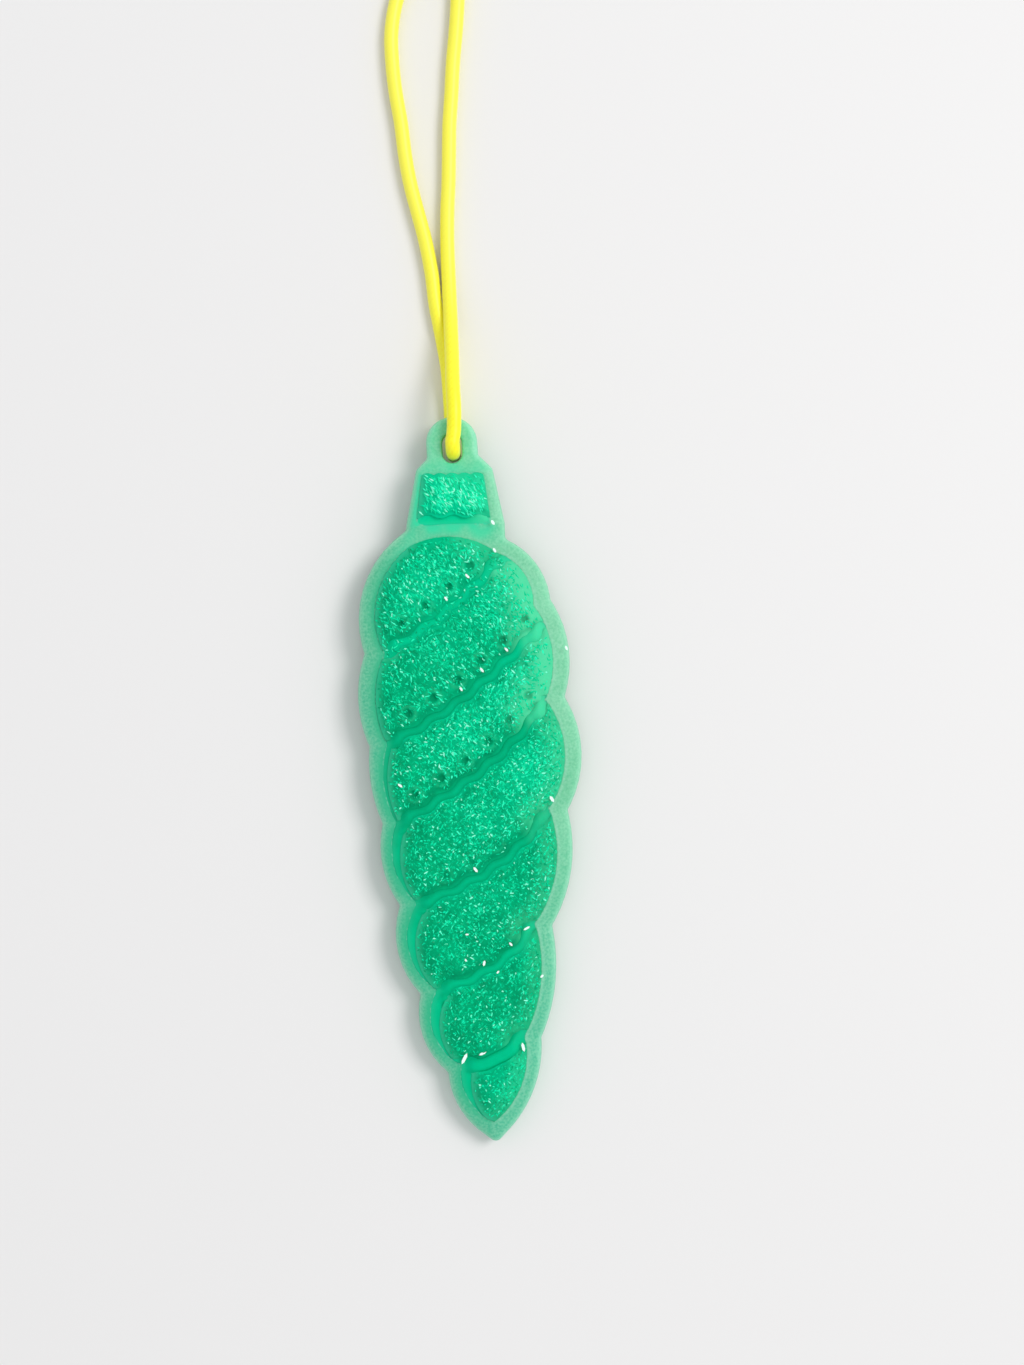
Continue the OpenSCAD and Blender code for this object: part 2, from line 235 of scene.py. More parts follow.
def braided_tube(name, route, frames=None, dome=0.0, along=0.0):
    frames = frames or ring_frames(route)
    points = []
    yarn_crown_light = []
    bleach = []
    for i, (centre, (_, side, other)) in enumerate(zip(route, frames)):
        along += (centre - route[max(i - 1, 0)]).length
        twist = 2 * math.pi * along / YARN_PITCH * YARNS
        paler = ((centre - slot_middle).length - BLEACH_FROM) / BLEACH_OVER
        for k in range(CORD_SIDES):
            angle = 2 * math.pi * k / CORD_SIDES
            height = max(math.cos(YARNS * angle + twist), math.cos(YARNS * angle - twist))
            radius = CORD_R + YARN_RISE * (height - 1)
            points.append(centre + radius * (math.cos(angle) * side + math.sin(angle) * other))
            yarn_crown_light.append((height + 1) / 2)
            bleach.append(min(max(paler, 0), 1))
    faces = []
    for i in range(len(route) - 1):
        for k in range(CORD_SIDES):
            a = i * CORD_SIDES + k
            b = i * CORD_SIDES + (k + 1) % CORD_SIDES
            faces.append((a, b, b + CORD_SIDES, a + CORD_SIDES))
    sleeve = len(faces)
    for ring, sign in ((0, -1), (len(route) - 1, 1)):
        first = len(points)
        rim = slice(ring * CORD_SIDES, (ring + 1) * CORD_SIDES)
        points += [*points[rim], route[ring] + sign * dome * frames[ring][0]]
        yarn_crown_light += [*yarn_crown_light[rim], 0]
        bleach += [*bleach[rim], bleach[rim.start]]
        tip = first + CORD_SIDES
        for k in range(CORD_SIDES):
            a = first + k
            b = first + (k + 1) % CORD_SIDES
            faces.append((b, a, tip) if sign < 0 else (a, b, tip))
    return new_object(name, points, faces, {"yarn_crown_light": yarn_crown_light, "bleach": bleach}, flat_from=sleeve)


# %% The two strands
PAST_BEND = 4
bight_first = len(back_route) - 1 - PAST_BEND
bight_last = len(back_route) + len(bight_route) - 2 + PAST_BEND


def cord_piece(name, first, last):
    stretch = slice(first, last + 1)
    along = route_length(whole_route[:first + 1])
    return braided_tube(name, whole_route[stretch], whole_frames[stretch], along=along)


back_strand = cord_piece("cord_back_strand_braid", 0, bight_first)
front_strand = cord_piece("cord_front_strand_braid", bight_last, len(whole_route) - 1)
ride_in_place_of(front_strand, "hanging_loop", "elastic_cord", "cord_front_strand")
ride_in_place_of(back_strand, "hanging_loop", "elastic_cord", "cord_back_strand")

# %% [markdown]
# ## Through the slot
#
# Between the two strands the cord passes through the tab and turns out of the slot on both faces. It is
# one short tube: a quarter turn from the back strand, a post through the tab and a quarter turn to the
# front. It runs on a little past both turns, because a joint between two tubes shows least where they
# are straight.

# %% The bight in the slot
bight = cord_piece("cord_bight_braid", bight_first, bight_last)
ride_in_place_of(bight, "hanging_loop", "elastic_cord", "cord_bight")

# %% [markdown]
# ## The knot
#
# The strands end in a tied knot. Only its outside shows: the cord winds twice round itself and each end
# is tucked under a wrap. So the knot is one tube on a helix whose radius shrinks at both ends, and the
# two cut tails leave it at the top. The outer size of the wraps is the size of the CAD solid.

# %% Wraps and tails
WRAP_TURNS = 1.9
WRAP_STEPS = 72
TUCK = 0.14
TUCKED_R = 0.35 * MM
LEFT_TAIL = [(-0.3, 2.5, -0.5), (-1.1, 5, -1), (-2.2, 7, -1)]
RIGHT_TAIL = [(0.2, 2.5, -0.4), (0.6, 5.5, -1), (1.6, 9, -1)]
TAIL_DOME = 0.25 * MM

wrap_r = (knot_high.z - knot_low.z) / 2 - CORD_R
wrap_start = knot_low.y + CORD_R
wrap_length = knot_high.y - knot_low.y - 2 * CORD_R


def tucked(share):
    inset = min(share, 1 - share) / TUCK
    return 1 if inset >= 1 else math.sin(inset * math.pi / 2)


wrap_route = []
for k in range(WRAP_STEPS + 1):
    share = k / WRAP_STEPS
    angle = 2 * math.pi * WRAP_TURNS * share
    radius = TUCKED_R + (wrap_r - TUCKED_R) * tucked(share)
    wrap_route.append(Vector((
        knot_middle.x + radius * math.cos(angle),
        wrap_start + wrap_length * share,
        knot_middle.z + radius * math.sin(angle),
    )))
knot = braided_tube("cord_knot_wraps", wrap_route)
ride_in_place_of(knot, "hanging_loop", "elastic_cord", "cord_knot")


def tail_route(side, run):
    head = Vector((knot_middle.x + side * CORD_R, knot_high.y, knot_middle.z))
    drop = knot_middle.z - LOW_Z
    points = [head + Vector((x * MM, y * MM, z * drop)) for x, y, z in run]
    hidden = head - Vector((0, 2 * CORD_R, 0))
    return smooth_route([hidden, head, *points], ROUTE_STEP)


left_tail = braided_tube("cord_left_tail_braid", tail_route(-1, LEFT_TAIL), dome=TAIL_DOME)
right_tail = braided_tube("cord_right_tail_braid", tail_route(1, RIGHT_TAIL), dome=TAIL_DOME)
ride_in_place_of(left_tail, "hanging_loop", "elastic_cord", "cord_left_tail")
ride_in_place_of(right_tail, "hanging_loop", "elastic_cord", "cord_right_tail")

# %% [markdown]
# ## Laying the pendant flat
#
# The pendant leans by a degree or so, because the cord under its tab lifts one end. Shaping it is
# easier in a frame of its own, where its back is the plane z = 0 and its tip is at y = 0. The lean is
# read from the CAD plate: the direction of its underside gives the angle, and its lowest point is the
# tip.

# %% The flat frame, in millimetres
FACING_DOWN = -0.9

plate_mesh = frame["nodes"]["border_plate"].data
lowest = min((v.co for v in plate_mesh.vertices), key=lambda co: co.z)
underside = [p for p in plate_mesh.polygons if p.normal.z < FACING_DOWN]
back = sum((p.normal * p.area for p in underside), Vector()).normalized()
lean = math.atan2(back.y, -back.z)
flat_to_row = (
    Matrix.Translation((0, lowest.y, lowest.z)) @ Matrix.Rotation(lean, 4, "X") @ Matrix.Scale(MM, 4)
)
row_to_flat = flat_to_row.inverted()
print("Lean:", round(math.degrees(lean), 3), "degrees, tip at", round(lowest.y, 5))

# %% [markdown]
# ## Outlines from the CAD solids
#
# Each cast piece is rebuilt from the outline of its own CAD solid, so it fits its neighbours without
# any measuring. The outline is the rim of the solid's flat underside: an edge belongs to it if only one
# face of the underside uses that edge. The loops are then resampled with rounded curves, and sharp
# corners are kept.

# %% Loops of a flat face
SAME_POINT = 0.002
LEVEL = 0.999


def signed_area(loop):
    x, y = loop.T
    return (x @ np.roll(y, -1) - y @ np.roll(x, -1)) / 2


def flat_loops(node, facing):
    solid = bmesh.new()
    solid.from_mesh(frame["nodes"][node].data)
    bmesh.ops.transform(solid, matrix=row_to_flat, verts=solid.verts)
    bmesh.ops.remove_doubles(solid, verts=solid.verts, dist=SAME_POINT)
    solid.normal_update()
    chosen = [f for f in solid.faces if f.normal.z * facing > LEVEL]
    level = set(chosen)
    following = {}
    for face in chosen:
        for loop in face.loops:
            if sum(f in level for f in loop.edge.link_faces) == 1:
                following[loop.vert] = loop.link_loop_next.vert
    loops = []
    while following:
        vert, after = following.popitem()
        loop = [vert.co.to_2d()]
        while after in following:
            loop.append(after.co.to_2d())
            after = following.pop(after)
        loops.append(np.array(loop, float))
    solid.free()
    return sorted(loops, key=lambda loop: -abs(signed_area(loop)))


# %% Smooth the outlines
CORNER = math.radians(40)
LOOP_STEP = 0.3
SHORTEST_EDGE = 0.03


def even_loop(loop, way):
    if signed_area(loop) * way < 0:
        loop = loop[::-1]
    gaps = np.linalg.norm(loop - np.roll(loop, 1, axis=0), axis=1)
    loop = loop[gaps > SHORTEST_EDGE]
    before = loop - np.roll(loop, 1, axis=0)
    after = np.roll(before, -1, axis=0)
    across = before[:, 0] * after[:, 1] - before[:, 1] * after[:, 0]
    corner = np.abs(np.arctan2(across, (before * after).sum(axis=1))) > CORNER
    count = len(loop)
    even = []
    for i in range(count):
        b = loop[i]
        c = loop[(i + 1) % count]
        a = 2 * b - c if corner[i] else loop[i - 1]
        d = 2 * c - b if corner[(i + 1) % count] else loop[(i + 2) % count]
        steps = max(1, round(float(np.linalg.norm(c - b)) / LOOP_STEP))
        even += [curve_point(a, b, c, d, k / steps) for k in range(steps)]
    return np.array(even)


def outline_of(node):
    return even_loop(flat_loops(node, -1)[0], 1)


TURNS = [f"spiral_turn_{i}" for i in range(1, 8)]
field_outline = outline_of("spiral_bed")
cap_outline = outline_of("cap_bed")
cell_outlines = {node: outline_of(node) for node in [*TURNS, "cap_cell"]}
field_length = float(np.ptp(field_outline[:, 1]))
print("Spiral field:", len(field_outline), "points,", round(field_length, 2), "mm long")

# %% [markdown]
# ## Filling an outline
#
# A flat shape with a wavy edge is best covered by triangles. Blender has a Delaunay triangulation that
# keeps the outline's edges: it takes the outline, a few rings just inside it where the surface will
# curve, and a honeycomb of points for the rest. How far each point lies from the outline then decides
# its height, which works for any outline, also at narrow ends where an inset would cross itself.

# %% Distances to an outline
TINY = 1e-12


def lines_of(loop):
    return loop, np.roll(loop, -1, axis=0)


def distance_to(points, starts, ends):
    best = np.full(len(points), np.inf)
    for start, end in zip(starts, ends):
        way = end - start
        t = np.clip((points - start) @ way / max(way @ way, TINY), 0, 1)
        gap = points - start - t[:, None] * way
        best = np.minimum(best, np.hypot(gap[:, 0], gap[:, 1]))
    return best


def to_loop(points, loop):
    return distance_to(points, *lines_of(loop))


def edge_distance(points, loops):
    return np.min([to_loop(points, loop) for loop in loops], axis=0)


# %% Points inside an outline
def inside(points, loop):
    x, y = points.T
    odd = np.zeros(len(points), bool)
    for (ax, ay), (bx, by) in zip(*lines_of(loop)):
        if ay != by:
            odd ^= ((ay > y) != (by > y)) & (x < (bx - ax) * (y - ay) / (by - ay) + ax)
    return odd


def within(points, loops):
    kept = inside(points, loops[0])
    for hole in loops[1:]:
        kept &= ~inside(points, hole)
    return kept


def inward(loop):
    way = np.roll(loop, -1, axis=0) - np.roll(loop, 1, axis=0)
    return np.stack([-way[:, 1], way[:, 0]], axis=1) / np.linalg.norm(way, axis=1)[:, None]


def honeycomb(loop, grid):
    low = loop.min(axis=0)
    high = loop.max(axis=0)
    row_gap = grid * math.sqrt(3) / 2
    rows = np.arange(low[1], high[1], row_gap)
    return np.array([
        (x + (r % 2) * grid / 2, y)
        for r, y in enumerate(rows)
        for x in np.arange(low[0], high[0], grid)
    ])


# %% Fill an outline
RING_KEEP = 0.93
INSIDE_EDGES = 1
MERGE_GAP = 1e-5


def fill(loops, ring_gaps, grid, extra=None, keep=None):
    groups = list(loops)
    for gap in ring_gaps:
        for loop in loops:
            ring = loop + gap * inward(loop)
            clear = edge_distance(ring, loops) > RING_KEEP * gap
            groups.append(ring[clear & within(ring, loops)])
    comb = honeycomb(loops[0], grid)
    comb = comb[within(comb, loops)]
    comb = comb[edge_distance(comb, loops) > ring_gaps[-1] + grid / 3]
    if keep is not None:
        comb = comb[keep(comb)]
    groups.append(comb)
    if extra is not None:
        groups.append(extra)
    rims = []
    for loop in loops:
        first = rims[-1].stop if rims else 0
        rims.append(range(first, first + len(loop)))
    edges = [edge for rim in rims for edge in zip(rim, [*rim[1:], rim[0]])]
    flat = [Vector(p) for p in np.vstack(groups)]
    filled = geometry.delaunay_2d_cdt(flat, edges, [], INSIDE_EDGES, MERGE_GAP)
    verts, _, faces, origins, _, _ = filled
    at = {origin: i for i, group in enumerate(origins) for origin in group}
    points = np.array([v[:] for v in verts])
    middles = np.array([points[list(f)].mean(axis=0) for f in faces])
    faces = [tuple(f) for f, kept in zip(faces, within(middles, loops)) if kept]
    return points, faces, [[at[k] for k in rim] for rim in rims]


# %% [markdown]
# ## Casting a piece
#
# Every resin piece is closed in the same way: a shaped top, a wall under its outline and a back. The
# rounding of a poured edge is a quarter of an ellipse, steep at the wall and level a little further in.

# %% Close a cast piece
def rounding(gap, width):
    out = 1 - np.clip(gap / width, 0, 1)
    return 1 - np.sqrt(np.clip(1 - out * out, 0, 1))


def smooth_step(low, high, x):
    t = np.clip((x - low) / (high - low), 0, 1)
    return t * t * (3 - 2 * t)


def bell(x, width):
    return np.exp(-((x / width) ** 2))


def unevenness(points, size, seed):
    return np.array([noise.noise(Vector((x / size, y / size, seed))) for x, y in points])


def cast_piece(name, filled, top_z, back_z, values):
    points, faces, borders = filled
    count = len(points)
    upper = np.column_stack([points, top_z])
    if np.ndim(back_z):
        lower = np.column_stack([points, back_z])
        below = [tuple(count + i for i in reversed(face)) for face in faces]
        feet = [[count + i for i in border] for border in borders]
        copied = range(count)
    else:
        copied = borders[0]
        lower = np.column_stack([points[copied], np.full(len(copied), back_z)])
        feet = [list(range(count, count + len(copied)))]
        below = [tuple(reversed(feet[0]))]
    walls = []
    for border, foot in zip(borders, feet):
        edge = list(zip(border, foot))
        walls += [(a, low_a, low_b, b) for (a, low_a), (b, low_b) in zip(edge, edge[1:] + edge[:1])]
    placed = [flat_to_row @ Vector(p) for p in np.vstack([upper, lower])]
    stored_values = {key: np.concatenate([v, v[list(copied)]]) for key, v in values.items()}
    return new_object(name, placed, [*faces, *walls, *below], stored_values)


# %% [markdown]
# ## Border plate
#
# The pale plate is the first pour: it makes the border, the cap's frame and the tab. Its outline and
# its slot come from the CAD plate. The upper edge is well rounded and the lower edge less, and beside
# the emerald fields the resin has crept up and just covers their edge. There the border takes some of
# their colour in patches above and below the cap, and on the left of each field it carries a painted
# green shadow of the raised field. Five numbers are stored for the finish: this tint and painted
# shadow, how high up it lies, a painted shade on the left with a darker tone towards the tip, painted
# light on the tab, and painted highlights along the rim and beside the right of the field. Most of
# them are soft steps across or along the plate, in millimetres from its middle line or its tip.

# %% Fill the border plate
PLATE_ROUND = 0.75
PLATE_RINGS = [0.06, 0.2, 0.42, PLATE_ROUND]
PLATE_GRID = 0.6
CREEP_RINGS = [0.25, 0, -0.15, -0.35, -0.6, -0.9]
CREEP_BAND = 1.1
RIM_BAND = PLATE_ROUND + 0.15
fields = [field_outline, cap_outline]


def beside_fields(points):
    return edge_distance(points, fields) > CREEP_BAND


outer_loop, slot_loop = flat_loops("border_plate", -1)[:2]
plate_loops = [even_loop(outer_loop, 1), even_loop(slot_loop, -1)]
creep_rings = np.vstack([o + gap * inward(o) for o in fields for gap in CREEP_RINGS])
creep_rings = creep_rings[within(creep_rings, plate_loops)]
creep_rings = creep_rings[edge_distance(creep_rings, plate_loops) > RIM_BAND]
plate = fill(plate_loops, PLATE_RINGS, PLATE_GRID, creep_rings, beside_fields)
print("Plate:", len(plate[0]), "points and", len(plate[1]), "triangles")

# %% Tint and painted shadow from the fields
SHADOW_TINT_REACH = 0.9
SHADOW_TINT_RIGHT = 0.03
CAP_TINT_REACH = 2.2
CAP_TINT_BELOW = 0.95
CAP_TINT_ABOVE = 0.45
PATCH_SHARE = 0.9
PATCH_SIZE = 1.8
PATCH_SEED = 6.5
SHORTEST_WAY = 1e-6


def way_in(points, outline):
    nearest = np.array([outline[np.argmin(((outline - p) ** 2).sum(axis=1))] for p in points])
    way = nearest - points
    way /= np.maximum(np.linalg.norm(way, axis=1), SHORTEST_WAY)[:, None]
    return np.where(inside(points, outline)[:, None], -way, way)


# Painted green shadow on the left of each field; patches round the cap add the field's colour.
def field_tint_and_shadow(points):
    tint_and_shadow = np.zeros(len(points))
    for outline in fields:
        left_shadow_share = np.clip(way_in(points, outline)[:, 0], 0, 1)
        near = bell(to_loop(points, outline), SHADOW_TINT_REACH) * (SHADOW_TINT_RIGHT + (1 - SHADOW_TINT_RIGHT) * left_shadow_share)
        tint_and_shadow = np.maximum(tint_and_shadow, np.where(inside(points, outline), 1, near))
    upward = way_in(points, cap_outline)[:, 1]
    cap_share = np.where(upward > 0, CAP_TINT_BELOW * upward, -CAP_TINT_ABOVE * upward)
    cap_glow = cap_share * bell(to_loop(points, cap_outline), CAP_TINT_REACH)
    patches = PATCH_SHARE + PATCH_SHARE * unevenness(points, PATCH_SIZE, PATCH_SEED)
    return np.maximum(tint_and_shadow, np.clip(patches * cap_glow, 0, 1))


plate_tint_and_shadow = field_tint_and_shadow(plate[0])
print("Tinted points:", int((plate_tint_and_shadow > 0.5).sum()))

# %% Heights of the border plate
PLATE_TOP = 3.2
BED_TOP = 3.8
SLOT_ROUND = 0.25
BACK_ROUND = 0.3
CREEP_REACH = 1.7
OVER_FIELD = 0.06
CREEP_RISE = BED_TOP - PLATE_TOP + OVER_FIELD
CREEP_BLUR = 0.8
BLUR_WAYS = np.arange(8) * math.pi / 4
UNEVEN = 0.03
PLATE_UNEVEN_SIZE = 3
PLATE_SEED = 1.5

points = plate[0]
gap = to_loop(points, plate_loops[0])
slot_gap = to_loop(points, plate_loops[1])
outer_drop = PLATE_ROUND * rounding(gap, PLATE_ROUND)
slot_drop = SLOT_ROUND * rounding(slot_gap, SLOT_ROUND)
plate_uneven = UNEVEN * unevenness(points, PLATE_UNEVEN_SIZE, PLATE_SEED)
plate_top = PLATE_TOP - np.maximum(outer_drop, slot_drop) + plate_uneven
blur = [(0, 0), *[(CREEP_BLUR * math.cos(a), CREEP_BLUR * math.sin(a)) for a in BLUR_WAYS]]
creep = [bell(edge_distance(points + np.array(offset), fields), CREEP_REACH) for offset in blur]
plate_top += CREEP_RISE * np.mean(creep, axis=0)
plate_back = BACK_ROUND * rounding(np.minimum(gap, slot_gap), BACK_ROUND)
print("Plate up to", round(float(plate_top.max()), 2), "mm")

# %% Cast the border plate
LEFT_SHADE_SPAN = (-2, 11)
LEFT_SHADE_LEAST = 0.6
LEFT_SHADE_LOWER = (-75, -52)
TIP_DARKER_SPAN = (-52, -12)
UPPER_FROM = (80, 84)
TAB_LIGHT_FROM = (91, 95)
RIM_HIGHLIGHT = 0.22
INNER_HIGHLIGHT = 0.2
INNER_HIGHLIGHT_SHARE = 0.8

# Painted shade darkens the border to the left, more so lower down; apart from that it is darker towards
# the tip.
x, y = points.T
left_shade_lower = LEFT_SHADE_LEAST + (1 - LEFT_SHADE_LEAST) * smooth_step(*LEFT_SHADE_LOWER, -y)
left_shade = smooth_step(*LEFT_SHADE_SPAN, -x) * left_shade_lower
# Painted highlights: a light line along the outer rim, and one beside the right of the field.
right_highlight_share = np.clip(-way_in(points, field_outline)[:, 0], 0, 1) * ~inside(points, field_outline)
inner_line = INNER_HIGHLIGHT_SHARE * right_highlight_share * bell(to_loop(points, field_outline) - INNER_HIGHLIGHT, INNER_HIGHLIGHT)
plate_values = {
    "tint_and_shadow": plate_tint_and_shadow,
    "upper": smooth_step(*UPPER_FROM, y),
    "left_shade_darker_tip": np.maximum(left_shade, smooth_step(*TIP_DARKER_SPAN, -y)),
    # Painted light: the tab is lifted brighter against the shade the cord casts on it.
    "tab": smooth_step(*TAB_LIGHT_FROM, y),
    "edge": np.maximum(bell(gap - RIM_HIGHLIGHT, RIM_HIGHLIGHT), inner_line),
}
border = cast_piece("border_plate_cast", plate, plate_top, plate_back, plate_values)
ride_in_place_of(border, "pendant", "border_resin", "border_plate")

# %% [markdown]
# ## Smooth beds
#
# Under the glitter lies a smooth emerald layer. It shows as the wavy ribbons between the turns, as the
# strip along the left of the lower turns and at the foot of the cap. It lies level with the border, and
# swells a little between two turns, as a narrow pour does; beside the turns its sides carry a painted
# shade, less along the strip and the first ribbon. It runs on a little way under the turns, so no
# groove opens beside them. Towards the right rim the ribbons are paler, with a brighter hook where that
# starts. Where the layer is thin, at the cap, the tip and the first ribbon, it lets more light through.

# %% Surface of a bed
RIBBON_BASE = 0.66
RIBBON_RISE = 0.08
RIBBON_SOFT = 0.7
RIBBON_REACH = (1.5, 2.4)
RIM_FADE = (0.1, 2)
UNDER_TURN = 0.6
STRIP_RISE = 0.13
STRIP_SOFT = 0.9
BED_UNEVEN = 0.5 * UNEVEN
BED_UNEVEN_SIZE = 2
BED_SEED = 4.5


def ribbon_swell(to_turn):
    return RIBBON_BASE + RIBBON_RISE * smooth_step(0, RIBBON_SOFT, to_turn)


def ribbon_share(to_turns, to_rim):
    second = to_turns[min(1, len(to_turns) - 1)]
    return (1 - smooth_step(*RIBBON_REACH, second)) * smooth_step(*RIM_FADE, to_rim)


def bed_top(points, covered, to_turns, to_rim):
    ribbon = ribbon_swell(np.where(covered, 0, to_turns[0])) * ribbon_share(to_turns, to_rim)
    strip = STRIP_RISE * smooth_step(0, STRIP_SOFT, to_rim)
    sunk = np.where(covered, np.clip(1 - to_turns[0] / UNDER_TURN, 0, 1), 1)
    top = BED_TOP + sunk * np.maximum(ribbon, strip)
    return top + BED_UNEVEN * unevenness(points, BED_UNEVEN_SIZE, BED_SEED)


# %% Numbers for the bed's finish
VEIL_LIGHT_REACH = 0.55
SIDE_SHADE_REACH = 0.32
STRIP_SIDE_SHADE = 0.4
FIRST_SIDE_SHADE = 0.4
RIGHT_END = (0.1, 0.4)
PALE_UPPER_FROM = (44, 52)
PALE_UPPER_LEAST = 0.3
PALE_RIM_REACH = (1, 5)
HOOK_AT = 3.2
HOOK_REACH = 0.7
HOOK_SHARE = 0.8
FIRST_RIBBON = (62, 70)
FIRST_THIN = 0.6
CAP_THIN = (82, 86)
TIP_THIN = (-48, -20)
TIP_SHARE = 0.38


def bed_values(points, outline, to_turns, to_rim):
    x, y = points.T
    right_end = smooth_step(*RIGHT_END, x / np.ptp(outline[:, 0]))
    upper = PALE_UPPER_LEAST + (1 - PALE_UPPER_LEAST) * smooth_step(*PALE_UPPER_FROM, y)
    hook = HOOK_SHARE * bell(to_rim - HOOK_AT, HOOK_REACH)
    rim_pale = np.maximum(1 - smooth_step(*PALE_RIM_REACH, to_rim), hook)
    first_ribbon = smooth_step(*FIRST_RIBBON, y)
    thin = [smooth_step(*CAP_THIN, y), TIP_SHARE * smooth_step(*TIP_THIN, -y), FIRST_THIN * first_ribbon]
    strip_side_shade = STRIP_SIDE_SHADE + (1 - STRIP_SIDE_SHADE) * ribbon_share(to_turns, to_rim)
    side_shade_share = strip_side_shade * (1 - (1 - FIRST_SIDE_SHADE) * first_ribbon)
    return {
        # Paler towards the right rim, with a brighter hook where that starts.
        "pale": right_end * upper * rim_pale,
        # Painted light at the left and lower rim, lifting the shade there.
        "rim_light_veil": bell(to_rim, VEIL_LIGHT_REACH) * np.clip(way_in(points, outline).max(axis=1), 0, 1),
        "thin": np.max(thin, axis=0),
        # Painted shade beside the turns, weaker along the strip and the first ribbon.
        "side": side_shade_share * bell(to_turns[0], SIDE_SHADE_REACH),
    }


# %% Cast the beds
BED_RINGS = [0.1, 0.3]
BED_GRID = 0.3
BED_MARGIN = 0.2


def cast_bed(name, node, outline, cells):
    turns = [cell_outlines[cell] for cell in cells]

    def between_turns(points):
        deep = np.zeros(len(points), bool)
        for turn in turns:
            deep |= inside(points, turn) & (to_loop(points, turn) > UNDER_TURN + BED_MARGIN)
        return ~deep

    filled = fill([outline], BED_RINGS, BED_GRID, keep=between_turns)
    points = filled[0]
    covered = np.any([inside(points, turn) for turn in turns], axis=0)
    to_turns = np.sort([to_loop(points, turn) for turn in turns], axis=0)
    to_rim = to_loop(points, outline)
    top = bed_top(points, covered, to_turns, to_rim)
    values = bed_values(points, outline, to_turns, to_rim)
    bed = cast_piece(name, filled, top, PLATE_TOP - UNEVEN, values)
    ride_in_place_of(bed, "pendant", "bed_resin", node)
    return bed


spiral_bed = cast_bed("spiral_bed_cast", "spiral_bed", field_outline, TURNS)
cap_bed = cast_bed("cap_bed_cast", "cap_bed", cap_outline, ["cap_cell"])

# %% [markdown]
# ## Glitter turns
#
# Each turn of the spiral is a cushion full of glitter. It slopes gently down to the border, drops
# faster to a ribbon, has a row of dimples and, below them, a smooth lip with a wavy step. The dimples
# are found on the CAD solid: they are the holes in its flat top. The surface is a sum of these parts,
# and the same sums tell the finish where painted shade darkens the lip's step and the dimples, where a
# painted highlight rings a dimple, where the glitter is thin, where it is pale and where painted light
# lifts the left rim. The glitter also glows more in some patches, where it lies thicker: each has a
# place, a reach and a strength. Turns differ in three shares: how pale the right end is, how dark the
# painted shade at the lip is, and how deep the dimples are.

# %% Glowing patches
GLOW_PATCHES = [
    (0, 89, 7, 1), (-4, 77, 6, 0.6), (2, 79, 4, 0.4), (4, 74.5, 5, 0.5),
    (-3, 69.5, 5, 0.3), (-1, 57.5, 5, 0.45), (5, 61, 4, 0.45), (7.5, 64, 4, 0.5),
    (8, 51, 4.5, 0.7), (6, 48.5, 4, 0.4), (1, 45, 4, 0.35), (0.5, 36, 4, 0.2), (3, 9.5, 4.5, 0.45),
]


def glow_at(points):
    glow = np.zeros(len(points))
    for x, y, reach, strength in GLOW_PATCHES:
        glow = np.maximum(glow, strength * bell(np.hypot(points[:, 0] - x, points[:, 1] - y), reach))
    return glow


print("Glow in the middle of the cap:", glow_at(np.array([GLOW_PATCHES[0][:2]]))[0])

# %% Sides of a turn
FACING = 0.3
FACING_LEFT = -0.5
FACING_UP = 0.75


def cell_sides(outline, rim, rim_near, lip_side):
    starts, ends = lines_of(outline)
    way = (ends - starts) / np.linalg.norm(ends - starts, axis=1)[:, None]
    outward = np.stack([way[:, 1], -way[:, 0]], axis=1)
    middles = (starts + ends) / 2
    near = to_loop(middles, rim) < rim_near
    lower = ~near & (outward @ lip_side > FACING)
    on_right = middles[:, 0] > outline[:, 0].mean()
    left = near & ~on_right & (outward[:, 0] < FACING_LEFT)
    chosen = {
        "rim": near,
        "lip": lower,
        "upper": ~near & ~lower,
        "right": near & on_right & (outward[:, 0] > FACING),
        "left": left,
        "bare": left | near & (outward[:, 1] > FACING_UP),
    }
    return {side: (starts[lines], ends[lines]) for side, lines in chosen.items()}


# %% What a turn knows of itself
class Cell:
    def __init__(self, node, rim, rim_near, lip_side, seed, pale, line_share, dimple_share=1):
        self.outline = cell_outlines[node]
        self.sides = cell_sides(self.outline, rim, rim_near, lip_side)
        self.dimples = [loop.mean(axis=0) for loop in flat_loops(node, 1)[1:]]
        self.seed = seed
        self.pale = pale
        self.line_share = line_share
        self.dimple_share = dimple_share

    def to(self, side, points):
        return distance_to(points, *self.sides[side])


# %% Lip and dimples of a turn
LIP_WIDTH = 0.6
LIP_SOFT = 0.25
DIMPLE_R = 0.8
DIMPLE_FLOOR = 0.3 * DIMPLE_R
RIDGE_R = 1.05
RIDGE_WIDTH = 0.2


def lip_shape(to_lip):
    return 1 - smooth_step(LIP_WIDTH - LIP_SOFT, LIP_WIDTH + LIP_SOFT, to_lip)


def dimple_shape(cell, points):
    hollow = np.zeros(len(points))
    ridge = np.zeros(len(points))
    for centre in cell.dimples:
        r = np.hypot(*(points - centre).T)
        hollow = np.maximum(hollow, 1 - smooth_step(DIMPLE_FLOOR, DIMPLE_R, r))
        ridge = np.maximum(ridge, bell(r - RIDGE_R, RIDGE_WIDTH))
    return cell.dimple_share * hollow, cell.dimple_share * ridge


# %% Surface of a turn
CELL_TOP = 5.0
CELL_LEAST = 0.03
CELL_UNEVEN_SIZE = 1.6
RIM_SLOPE = 3.2
RIM_SOFT = 0.6
RIM_DROP = 1.05
BANK_WIDTH = 1.3
UPPER_BANK = 0.57
LOWER_BANK = 0.36
LIP_DROP = 0.12
DIMPLE_DEPTH = 0.48
RIDGE_RISE = 0.05


